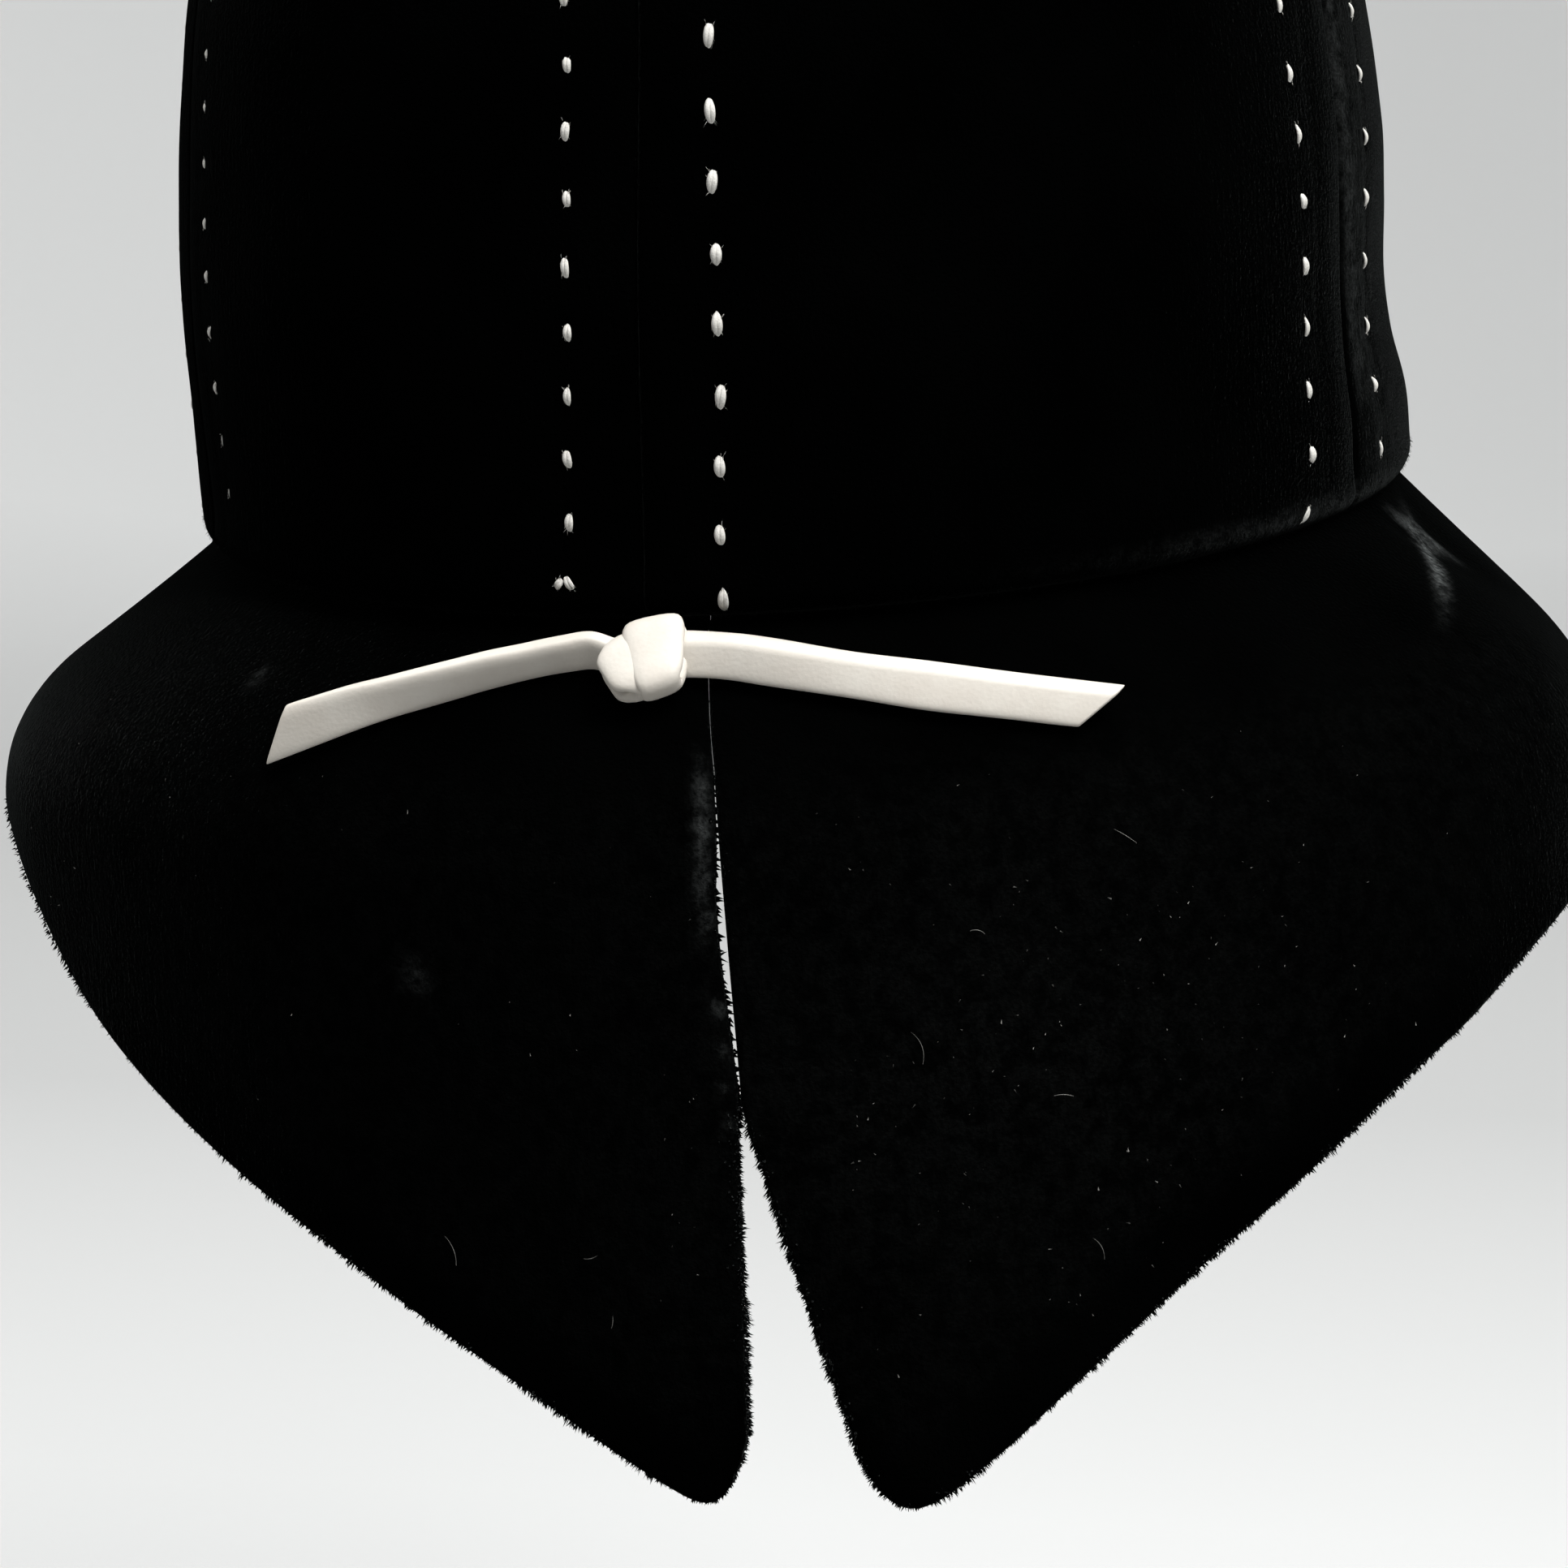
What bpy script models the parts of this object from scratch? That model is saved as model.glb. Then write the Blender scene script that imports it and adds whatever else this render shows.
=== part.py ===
"""Black felt cloche hat: a crown of six gores, a bell brim slit at the back, and a leather tie.

+Y is the front of the hat, +X the wearer's right and +Z up. The origin is the centre of the head
opening, level with the crown's lower edge. A bearing is an angle of the oval plan in degrees, 0 at the
back and growing towards the wearer's right. A depth is a length along the brim, down from the hem.
Tables are in millimetres and degrees.
"""
import math
from collections import namedtuple

import bmesh
import bpy
import numpy as np
from mathutils import Matrix, Vector

MM = 0.001

# The oval of the crown at its lower edge, before the scales of the crown table.
HALF_WIDTH = 86.9 * MM
HALF_LENGTH = 95.9 * MM

FELT = 2.5 * MM
WELD = 0.02 * MM
SHARP_ANGLE = 40
LEATHER = 2.0 * MM
CLEARANCE = 0.35 * MM

# The crown's felt turns under in a round hem, and ends in a lip that the brim's collar passes.
HEM_RADIUS = 3.4 * MM
HEM_ARC_STEPS = 3
LIP_DEPTH = 1.0 * MM
LIP_HEIGHT = 0.3 * MM
SEAM_GAP = 0.36 * MM
WIDEST_SEAM_TRIM = math.asin(0.9)
SEAM_PINCH = 0.6 * MM
PINCH_WIDTH = 3.5 * MM
PINCH_FADE_RADIUS = 20 * MM
PINCH_FADE_HEIGHT = 8 * MM
TIP_SCALE = 0.0068
CROWN_ROWS = 19
GORE_STEPS = (0.0, 0.05, 0.2, 0.4, 0.6, 0.8, 0.95, 1.0)

# The soft dent and flare on the wearer's right fade out from this bearing.
DENT_BEARING = 95
DENT_SPREAD = 35

CrownRow = namedtuple("CrownRow", "height scale right_push")
CROWN = (
    CrownRow(3.7, 1.0095, 0.026),
    CrownRow(12, 1.0095, 0.018),
    CrownRow(21, 1.0095, -0.006),
    CrownRow(31, 1.009, -0.019),
    CrownRow(40, 1.004, -0.013),
    CrownRow(50, 0.992, -0.003),
    CrownRow(62, 0.975, -0.005),
    CrownRow(75, 0.949, -0.006),
    CrownRow(88, 0.903, -0.003),
    CrownRow(100, 0.827, 0.0),
    CrownRow(111, 0.712, 0.0),
    CrownRow(120, 0.565, 0.0),
    CrownRow(127, 0.38, 0.0),
    CrownRow(131, 0.19, 0.0),
    CrownRow(132.5, TIP_SCALE, 0.0),
)

# A seam leans sideways on its way up, by its lean at the lean height.
Seam = namedtuple("Seam", "gore_after bearing lean")
SEAMS = (
    Seam("crown_gore_back_right", 0, 2),
    Seam("crown_gore_side_right", 70, 2.5),
    Seam("crown_gore_front_right", 125, 0),
    Seam("crown_gore_front_left", 180, 0),
    Seam("crown_gore_side_left", 241, 0),
    Seam("crown_gore_back_left", 303.5, -1.5),
)
FULL_TURN = 360
LEAN_HEIGHT = 70 * MM

# The brim starts level under the hem, bends down from its root angle and hangs at its hang angle.
COLLAR_HEIGHT = 12 * MM
COLLAR_INSET = 5.3 * MM
COLLAR_BEND = 0.3 * MM
BRIM_TOP = -0.05 * MM
BRIM_STEPS = (0.0, 0.05, 0.11, 0.17, 0.24, 0.31, 0.38, 0.46, 0.54, 0.63, 0.72, 0.81, 0.9, 1.0)
BEND_SAMPLES = 48

BrimRow = namedtuple("BrimRow", "bearing root_angle hang_angle bend_start bend_end")
BRIM = (
    BrimRow(-180, 50, 58, 6, 25),
    BrimRow(-130, 50, 65, 11, 37),
    BrimRow(-95, 48, 80, 22, 51),
    BrimRow(-64, 32, 89, 25, 57),
    BrimRow(-35, 34, 86, 13, 46),
    BrimRow(0, 38, 81, 8, 42),
    BrimRow(35, 35, 80, 11, 47),
    BrimRow(65, 30, 84, 22, 56),
    BrimRow(95, 44.5, 88, 24, 50),
    BrimRow(130, 50, 70, 13, 38),
)

# The cut edge runs from the right lobe round the front to the left lobe, before its tips are rounded.
EdgeRow = namedtuple("EdgeRow", "bearing depth")
EDGE = (
    EdgeRow(13, 118.4),
    EdgeRow(25, 101.6),
    EdgeRow(35, 89.8),
    EdgeRow(45, 80.3),
    EdgeRow(55, 72.4),
    EdgeRow(65, 65.5),
    EdgeRow(80, 57),
    EdgeRow(95, 52),
    EdgeRow(130, 42),
    EdgeRow(180, 36),
    EdgeRow(230, 42),
    EdgeRow(265, 49),
    EdgeRow(290, 50.5),
    EdgeRow(300, 54.5),
    EdgeRow(305, 60),
    EdgeRow(310, 66),
    EdgeRow(320, 74),
    EdgeRow(330, 80.4),
    EdgeRow(340, 87.3),
    EdgeRow(350, 95.6),
    EdgeRow(366.85, 114.7),
)
EDGE_COLUMNS = 48

# Each lobe's tip is rounded off over a short spread of bearing.
Tip = namedtuple("Tip", "bearing spread drop")
RIGHT_TIP = Tip(13, 7.5, 12.2)
LEFT_TIP = Tip(366.85, -5, 13.4)
TIP_STEPS = (0.0, 0.08, 0.25, 0.5, 0.75)
TIP_POWER = 4

# The slit is a hairline down from the hem, then the right lobe swings away from the left one.
SlitRow = namedtuple("SlitRow", "depth left right")
SLIT = (
    SlitRow(0, 5.0, 5.0),
    SlitRow(10, 5.4, 5.65),
    SlitRow(25, 6.15, 6.42),
    SlitRow(61, 6.85, 7.1),
    SlitRow(106, 6.85, 13.0),
)
SLIT_REACH = 70

# The brim's slope is measured over this step, in degrees of bearing or millimetres of depth.
PROBE = 0.5

# A crease runs down the right side of the brim from the hem.
CREASE_BEARING = 80
CREASE_SPREAD = 6
CREASE_DEPTH = 1.4 * MM
CREASE_MIDDLE = 13
CREASE_LENGTH = 9

# The tie lies on the brim: its middle line, from the end of the left tail to the end of the right one.
TieRow = namedtuple("TieRow", "bearing depth")
TIE = (
    TieRow(-27.4, 22.7),
    TieRow(-21.6, 17.1),
    TieRow(-15.1, 12.0),
    TieRow(-9.2, 8.4),
    TieRow(-4, 6.9),
    TieRow(0.9, 6.8),
    TieRow(5, 7.2),
    TieRow(13.2, 9.5),
    TieRow(21.9, 13.7),
    TieRow(30.6, 18.9),
    TieRow(33, 20.5),
)
TIE_SECTIONS = 23
TIE_WIDTH = 6.4 * MM
TIE_ROUNDING = 2.6
TIE_SIDES = 10
LEFT_END_SLANT = -0.55
RIGHT_END_SLANT = -1.25

# The knot is two rounded folds of the strip, one over the other.
Fold = namedtuple("Fold", "bearing depth lift width height thickness turn rounding")
KNOT = (
    Fold(0.3, 7.9, 2.55, 9.6, 9.2, 4.2, -18, 1.7),
    Fold(1.6, 7.7, 3.3, 6.6, 9.6, 5.0, 8, 1.8),
)
ROUNDING_SEGMENTS = 3
ROUND_PROFILE = 0.5

Look = namedtuple("Look", "name colour roughness")
BLACK_FELT = Look("black_felt", (0.006, 0.006, 0.007), 0.95)
IVORY_LEATHER = Look("ivory_leather", (0.86, 0.82, 0.76), 0.5)


def clear_scene():
    """Removes whatever the scene holds."""
    for thing in list(bpy.context.scene.objects):
        bpy.data.objects.remove(thing)


def finish(look):
    """A material of one colour and roughness."""
    material = bpy.data.materials.new(look.name)
    material.use_nodes = True
    shader = material.node_tree.nodes["Principled BSDF"]
    shader.inputs["Base Color"].default_value = (*look.colour, 1.0)
    shader.inputs["Roughness"].default_value = look.roughness
    shader.inputs["Metallic"].default_value = 0.0
    return material


def flowing(knots, values, at):
    """Values between the knots on a smooth curve that doesn't overshoot them."""
    knots = np.asarray(knots, float)
    values = np.asarray(values, float)
    width = np.diff(knots)
    slope = np.diff(values) / width
    middle = (slope[:-1] * width[1:] + slope[1:] * width[:-1]) / (width[1:] + width[:-1])
    middle = np.where(slope[:-1] * slope[1:] <= 0, 0.0, middle)
    tangent = np.concatenate([slope[:1], middle, slope[-1:]])
    place = np.clip(np.searchsorted(knots, at, side="right") - 1, 0, len(knots) - 2)
    share = (np.asarray(at, float) - knots[place]) / width[place]
    start = (2 * share**3 - 3 * share**2 + 1) * values[place]
    leave = (share**3 - 2 * share**2 + share) * width[place] * tangent[place]
    end = (3 * share**2 - 2 * share**3) * values[place + 1]
    arrive = (share**3 - share**2) * width[place] * tangent[place + 1]
    return start + leave + end + arrive


def column(table, name):
    """One named column of a table."""
    return np.array([getattr(row, name) for row in table], float)


def around(table, name, bearing):
    """A column of a table that closes round the hat, at any bearing."""
    knots = column(table, "bearing")
    values = column(table, name)
    knots = np.concatenate([knots[-3:] - 360, knots, knots[:3] + 360])
    values = np.concatenate([values[-3:], values, values[:3]])
    return flowing(knots, values, np.mod(np.asarray(bearing, float) + 180, 360) - 180)


def oval(bearing):
    """Points of the plan oval."""
    turn = np.radians(bearing)
    return np.stack([HALF_WIDTH * np.sin(turn), -HALF_LENGTH * np.cos(turn)], -1)


def outward(bearing):
    """Level directions that point straight out of the oval."""
    turn = np.radians(bearing)
    across = np.stack([np.sin(turn) / HALF_WIDTH, -np.cos(turn) / HALF_LENGTH], -1)
    return across / np.linalg.norm(across, axis=-1, keepdims=True)


def dent_share(bearing):
    """How far a bearing takes part in the dent and flare on the wearer's right."""
    away = np.mod(np.asarray(bearing, float) - DENT_BEARING + 180, 360) - 180
    return np.exp(-((away / DENT_SPREAD) ** 2))


def hem_oval(bearing):
    """The crown's widest line, at the top of the hem."""
    scale = CROWN[0].scale + CROWN[0].right_push * dent_share(bearing)
    return oval(bearing) * np.asarray(scale)[..., None]


def crown_profile():
    """Heights, scales and pushes of the crown's rows above the hem, evenly spaced along the wall."""
    heights = column(CROWN, "height") * MM
    scales = column(CROWN, "scale")
    run = np.hypot(np.diff(heights), np.diff(scales) * HALF_WIDTH)
    along = np.concatenate([[0.0], np.cumsum(run)])
    at = np.linspace(0, along[-1], CROWN_ROWS)
    pushes = column(CROWN, "right_push")
    return flowing(along, heights, at), flowing(along, scales, at), flowing(along, pushes, at)


def seam_bearing(seam, height):
    """Where a seam runs at a height."""
    return seam.bearing + seam.lean * min(1.0, height / LEAN_HEIGHT)


def gore_points(first, last, last_turn):
    """Rows of points of a gore's outer face, from the hem's lip up to the crown's tip."""
    heights, scales, pushes = crown_profile()
    lean = np.arctan2(-np.gradient(scales) * HALF_WIDTH, np.gradient(heights))
    steps = np.array(GORE_STEPS)
    rows = []
    for angle in np.linspace(0, math.pi / 2, HEM_ARC_STEPS, endpoint=False):
        inset = HEM_RADIUS * (1 - math.sin(angle))
        rows.append((inset, LIP_HEIGHT + HEM_RADIUS * (1 - math.cos(angle))))
    rows.insert(0, (HEM_RADIUS + LIP_DEPTH, LIP_HEIGHT))
    grid = []
    for inset, height in rows:
        trim = np.degrees(SEAM_GAP / 2 / (HALF_WIDTH - inset))
        first_seam, last_seam = seam_bearing(first, height), seam_bearing(last, height) + last_turn
        bearing = first_seam + trim + (last_seam - first_seam - 2 * trim) * steps
        plan = hem_oval(bearing) - outward(bearing) * inset
        grid.append(np.column_stack([plan, np.full(len(steps), height)]))
    for height, scale, push, tilt in zip(heights, scales, pushes, lean):
        trim = np.degrees(min(WIDEST_SEAM_TRIM, SEAM_GAP / 2 / (scale * HALF_WIDTH)))
        first_seam, last_seam = seam_bearing(first, height), seam_bearing(last, height) + last_turn
        bearing = first_seam + trim + (last_seam - first_seam - 2 * trim) * steps
        plan = oval(bearing) * (scale + push * dent_share(bearing))[:, None]
        radius = np.linalg.norm(plan, axis=1)
        seam_distance = np.radians(np.minimum(bearing - first_seam, last_seam - bearing)) * radius
        fade = min(1.0, height / PINCH_FADE_HEIGHT) * np.minimum(1.0, radius / PINCH_FADE_RADIUS)
        pinch = SEAM_PINCH * fade * np.exp(-((seam_distance / PINCH_WIDTH) ** 2))
        plan = plan - outward(bearing) * (pinch * math.cos(tilt))[:, None]
        grid.append(np.column_stack([plan, height - pinch * math.sin(tilt)]))
    return np.array(grid)


def edge_depth(bearing):
    """Depth of the brim's cut edge, with the two tips rounded off."""
    depth = flowing(column(EDGE, "bearing"), column(EDGE, "depth"), bearing)
    for tip in (RIGHT_TIP, LEFT_TIP):
        share = np.clip((bearing - tip.bearing) / tip.spread, 0, 1)
        depth = depth - tip.drop * (1 - share) ** TIP_POWER
    return depth


def skirt_points(bearing, depth):
    """Points of the brim's upper face: arrays of bearings in degrees and depths in millimetres."""
    bearing = np.asarray(bearing, float)
    depth = np.asarray(depth, float)
    root = around(BRIM, "root_angle", bearing)[..., None]
    hang = around(BRIM, "hang_angle", bearing)[..., None]
    bend_start = around(BRIM, "bend_start", bearing)[..., None]
    bend_end = around(BRIM, "bend_end", bearing)[..., None]
    sample = (np.arange(BEND_SAMPLES) + 0.5) / BEND_SAMPLES
    share = np.clip((depth[..., None] * sample - bend_start) / (bend_end - bend_start), 0, 1)
    slope = np.radians(root + (hang - root) * share * share * (3 - 2 * share))
    reach = depth * np.cos(slope).mean(-1) * MM
    drop = depth * np.sin(slope).mean(-1) * MM
    fold = np.exp(-(((bearing - CREASE_BEARING) / CREASE_SPREAD) ** 2))
    fold = fold * np.exp(-(((depth - CREASE_MIDDLE) / CREASE_LENGTH) ** 2)) * CREASE_DEPTH
    out = outward(bearing)
    plan = hem_oval(bearing) + out * (reach - HEM_RADIUS)[..., None]
    return np.concatenate([plan, (BRIM_TOP - drop - fold)[..., None]], -1)


def brim_points():
    """Rows of points of the brim's outer face, from the top of its collar to its cut edge."""
    edge = np.concatenate([
        RIGHT_TIP.bearing + RIGHT_TIP.spread * np.array(TIP_STEPS),
        np.linspace(RIGHT_TIP.bearing + RIGHT_TIP.spread, LEFT_TIP.bearing + LEFT_TIP.spread, EDGE_COLUMNS),
        (LEFT_TIP.bearing + LEFT_TIP.spread * np.array(TIP_STEPS))[::-1],
    ])
    depths = np.outer(BRIM_STEPS, edge_depth(edge))
    right_share = np.clip(1 - (edge - RIGHT_TIP.bearing) / SLIT_REACH, 0, 1)
    left_share = np.clip(1 - (LEFT_TIP.bearing - edge) / SLIT_REACH, 0, 1)
    right_line = np.interp(depths, column(SLIT, "depth"), column(SLIT, "right"))
    left_line = np.interp(depths, column(SLIT, "depth"), column(SLIT, "left"))
    bearings = edge + (right_line - SLIT[-1].right) * right_share + (left_line - SLIT[-1].left) * left_share
    skirt = skirt_points(bearings, depths)
    collar = []
    bend_foot = COLLAR_INSET - COLLAR_BEND
    for inset, height in ((COLLAR_INSET, COLLAR_HEIGHT), (COLLAR_INSET, COLLAR_BEND), (bend_foot, BRIM_TOP)):
        plan = hem_oval(bearings[0]) - outward(bearings[0]) * inset
        collar.append(np.column_stack([plan, np.full(len(edge), height)]))
    return np.concatenate([np.array(collar), skirt])


def sheet_object(name, grid, material, collection):
    """An open sheet of quads through a grid of points, whose coinciding edges are joined."""
    rows, columns = grid.shape[:2]
    sheet = bmesh.new()
    points = [[sheet.verts.new(grid[i, j]) for j in range(columns)] for i in range(rows)]
    for i in range(rows - 1):
        for j in range(columns - 1):
            sheet.faces.new((points[i][j], points[i][j + 1], points[i + 1][j + 1], points[i + 1][j]))
    bmesh.ops.remove_doubles(sheet, verts=sheet.verts, dist=WELD)
    return place_mesh(name, sheet, material, collection)


def place_mesh(name, shape, material, collection):
    """A smooth-shaded object in the hat's collection, made from a bmesh."""
    mesh = bpy.data.meshes.new(name)
    shape.to_mesh(mesh)
    shape.free()
    mesh.materials.append(material)
    mesh.shade_smooth()
    mesh.set_sharp_from_angle(angle=math.radians(SHARP_ANGLE))
    thing = bpy.data.objects.new(name, mesh)
    collection.objects.link(thing)
    return thing


def felt_wall(sheet):
    """Gives a sheet the thickness of the felt, on its inner side."""
    wall = sheet.modifiers.new("felt", "SOLIDIFY")
    wall.thickness = FELT
    wall.offset = -1
    wall.use_even_offset = True


def crown_gores(material, collection):
    """The crown's six gores, each between two seams."""
    for number, seam in enumerate(SEAMS):
        following = SEAMS[(number + 1) % len(SEAMS)]
        grid = gore_points(seam, following, FULL_TURN if following is SEAMS[0] else 0)
        felt_wall(sheet_object(seam.gore_after, grid, material, collection))


def brim(material, collection):
    """The collar and bell of the brim in one piece."""
    felt_wall(sheet_object("brim", brim_points()[:, ::-1], material, collection))


def brim_frame(bearing, depth, lift):
    """A point above the brim, with the directions along the hem, down the brim and out of it."""
    here = Vector(skirt_points(bearing, depth))
    side = Vector(skirt_points(bearing + PROBE, depth)) - Vector(skirt_points(bearing - PROBE, depth))
    down = Vector(skirt_points(bearing, depth + PROBE)) - Vector(skirt_points(bearing, depth - PROBE))
    out = down.cross(side).normalized()
    side.normalize()
    return here + out * lift, side, out.cross(side).normalized(), out


def tie_tails(material, collection):
    """The leather strip from end to end, a rounded section carried along its line on the brim."""
    at = np.linspace(0, len(TIE) - 1, TIE_SECTIONS)
    bearings = flowing(range(len(TIE)), column(TIE, "bearing"), at)
    depths = flowing(range(len(TIE)), column(TIE, "depth"), at)
    frames = [brim_frame(b, d, CLEARANCE + LEATHER / 2) for b, d in zip(bearings, depths)]
    strip = bmesh.new()
    rings = []
    for i, (centre, _, _, out) in enumerate(frames):
        ahead = frames[min(i + 1, len(frames) - 1)][0] - frames[max(i - 1, 0)][0]
        ahead.normalize()
        across = out.cross(ahead).normalized()
        slant = LEFT_END_SLANT if i == 0 else RIGHT_END_SLANT if i == len(frames) - 1 else 0.0
        ring = []
        for k in range(TIE_SIDES):
            turn = 2 * math.pi * (k + 0.5) / TIE_SIDES
            wide = math.copysign(abs(math.cos(turn)) ** (2 / TIE_ROUNDING), math.cos(turn)) * TIE_WIDTH / 2
            high = math.copysign(abs(math.sin(turn)) ** (2 / TIE_ROUNDING), math.sin(turn)) * LEATHER / 2
            ring.append(strip.verts.new(centre + across * wide + out * high - ahead * wide * slant))
        rings.append(ring)
    for one, other in zip(rings, rings[1:]):
        for k in range(TIE_SIDES):
            following = (k + 1) % TIE_SIDES
            strip.faces.new((one[k], other[k], other[following], one[following]))
    strip.faces.new(rings[0])
    strip.faces.new(rings[-1][::-1])
    bmesh.ops.recalc_face_normals(strip, faces=strip.faces)
    return place_mesh("leather_tie", strip, material, collection)


def knot_fold(number, fold, collection):
    """One rounded fold of the knot, as a tool that is joined to the tie."""
    centre, side, down, out = brim_frame(fold.bearing, fold.depth, fold.lift * MM)
    shape = bmesh.new()
    bmesh.ops.create_cube(shape, size=1.0)
    size = Vector((fold.width, fold.height, fold.thickness)) * MM
    bmesh.ops.scale(shape, vec=size, verts=shape.verts)
    bmesh.ops.bevel(shape, geom=shape.edges[:], offset=fold.rounding * MM, segments=ROUNDING_SEGMENTS,
                    affect="EDGES", profile=ROUND_PROFILE, clamp_overlap=True)
    mesh = bpy.data.meshes.new(f"knot_fold_{number}")
    shape.to_mesh(mesh)
    shape.free()
    tool = bpy.data.objects.new(f"knot_fold_{number}", mesh)
    axes = Matrix((side, -down, out)).transposed().to_4x4()
    tool.matrix_world = Matrix.Translation(centre) @ axes @ Matrix.Rotation(math.radians(fold.turn), 4, "Z")
    tool.hide_render = True
    tool.display_type = "WIRE"
    collection.objects.link(tool)
    return tool


def leather_tie(material, collection, tools):
    """The strip with its knot, joined into one solid."""
    tie = tie_tails(material, collection)
    for number, fold in enumerate(KNOT):
        union = tie.modifiers.new(f"knot_{number}", "BOOLEAN")
        union.operation = "UNION"
        union.solver = "EXACT"
        union.object = knot_fold(number, fold, tools)


def main():
    clear_scene()
    hat = bpy.data.collections.new("cloche_hat")
    tools = bpy.data.collections.new("knot_tools")
    bpy.context.scene.collection.children.link(hat)
    bpy.context.scene.collection.children.link(tools)
    felt = finish(BLACK_FELT)
    crown_gores(felt, hat)
    brim(felt, hat)
    leather_tie(finish(IVORY_LEATHER), hat, tools)


main()
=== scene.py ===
"""Looks of a black velour cloche hat, laid out as a Blender add-on and run as a script.

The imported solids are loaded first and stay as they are. Each operator then builds one group of pieces in
their place: the six felt gores, the bell brim, the white running stitches beside the seams, the fuzz on
the cut edges, the lint on the pile and the knotted leather tie. The last one sets a pale stage with soft
light and the camera.

+Y is the front of the hat, +X the wearer's right and +Z up. A bearing is an angle of the oval plan in
degrees, 0 at the back and growing towards the wearer's right. A depth is a length in millimetres along
the brim, down from the hem. Surfaces are grids of points whose last axis is x, y and z in metres, with
rows that run down the hat and columns that run along growing bearings, so that the faces point outwards.
"""
import math
from collections import namedtuple

import bpy
import numpy as np
from bpy.props import FloatProperty, FloatVectorProperty, IntProperty, PointerProperty
from mathutils import Matrix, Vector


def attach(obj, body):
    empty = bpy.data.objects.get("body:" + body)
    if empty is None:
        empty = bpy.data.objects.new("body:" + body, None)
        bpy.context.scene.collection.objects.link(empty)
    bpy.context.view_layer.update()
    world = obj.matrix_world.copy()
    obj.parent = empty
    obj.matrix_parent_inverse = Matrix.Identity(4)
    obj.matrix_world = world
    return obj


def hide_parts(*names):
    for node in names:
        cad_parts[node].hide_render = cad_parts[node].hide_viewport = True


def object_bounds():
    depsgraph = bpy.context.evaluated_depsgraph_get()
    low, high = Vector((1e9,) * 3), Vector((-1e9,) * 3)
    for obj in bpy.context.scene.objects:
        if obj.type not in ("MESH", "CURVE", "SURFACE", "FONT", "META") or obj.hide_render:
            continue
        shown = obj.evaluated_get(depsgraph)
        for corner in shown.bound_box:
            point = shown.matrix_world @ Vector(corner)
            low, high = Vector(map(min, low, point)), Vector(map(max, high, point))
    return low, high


bl_info = {
    "name": "Cloche hat finish",
    "version": (1, 0, 0),
    "blender": (4, 5, 0),
    "location": "3D View > Sidebar > Cloche",
    "description": "Builds the felt, stitches, fuzz and leather tie of a cloche hat over its packed solids",
    "category": "Add Mesh",
}

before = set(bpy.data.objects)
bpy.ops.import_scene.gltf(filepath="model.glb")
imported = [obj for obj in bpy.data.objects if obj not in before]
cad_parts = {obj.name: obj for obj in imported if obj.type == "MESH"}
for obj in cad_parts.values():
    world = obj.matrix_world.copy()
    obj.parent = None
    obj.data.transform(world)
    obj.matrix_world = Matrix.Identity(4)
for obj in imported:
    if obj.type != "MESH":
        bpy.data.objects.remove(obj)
CAD_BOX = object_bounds()

MM = 0.001
FULL_TURN = 360

# The oval of the crown at its lower edge, before the scales of the crown table.
HALF_WIDTH = 86.9 * MM
HALF_LENGTH = 95.9 * MM

HEM_RADIUS = 3.4 * MM
LIP_DEPTH = 1.0 * MM
LIP_HEIGHT = 0.3 * MM
LEAN_HEIGHT = 70 * MM

# The soft dent and flare on the wearer's right fade out from this bearing.
DENT_BEARING = 95
DENT_SPREAD = 35

CrownRow = namedtuple("CrownRow", "height scale right_push")
CROWN = (
    CrownRow(3.7, 1.0095, 0.026),
    CrownRow(12, 1.0095, 0.018),
    CrownRow(21, 1.0095, -0.006),
    CrownRow(31, 1.009, -0.019),
    CrownRow(40, 1.004, -0.013),
    CrownRow(50, 0.992, -0.003),
    CrownRow(62, 0.975, -0.005),
    CrownRow(75, 0.949, -0.006),
    CrownRow(88, 0.903, -0.003),
    CrownRow(100, 0.827, 0.0),
    CrownRow(111, 0.712, 0.0),
    CrownRow(120, 0.565, 0.0),
    CrownRow(127, 0.38, 0.0),
    CrownRow(131, 0.19, 0.0),
    CrownRow(132.5, 0.002, 0.0),
)

Seam = namedtuple("Seam", "gore_after bearing lean")
SEAMS = (
    Seam("crown_gore_back_right", 0, 2),
    Seam("crown_gore_side_right", 70, 2.5),
    Seam("crown_gore_front_right", 125, 0),
    Seam("crown_gore_front_left", 180, 0),
    Seam("crown_gore_side_left", 241, 0),
    Seam("crown_gore_back_left", 303.5, -1.5),
)

# These gores get a shaded copy of the velour with little sheen, as painted shade on the wearer's left.
SHADED_GORES = ("crown_gore_side_left", "crown_gore_back_left")

# The felt sinks towards a seam and along the row of stitches beside it.
PINCH_REACH = 3.5 * MM
ROW_DISTANCE = 9.6 * MM
ROW_WIDTH = 1.6 * MM

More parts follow.
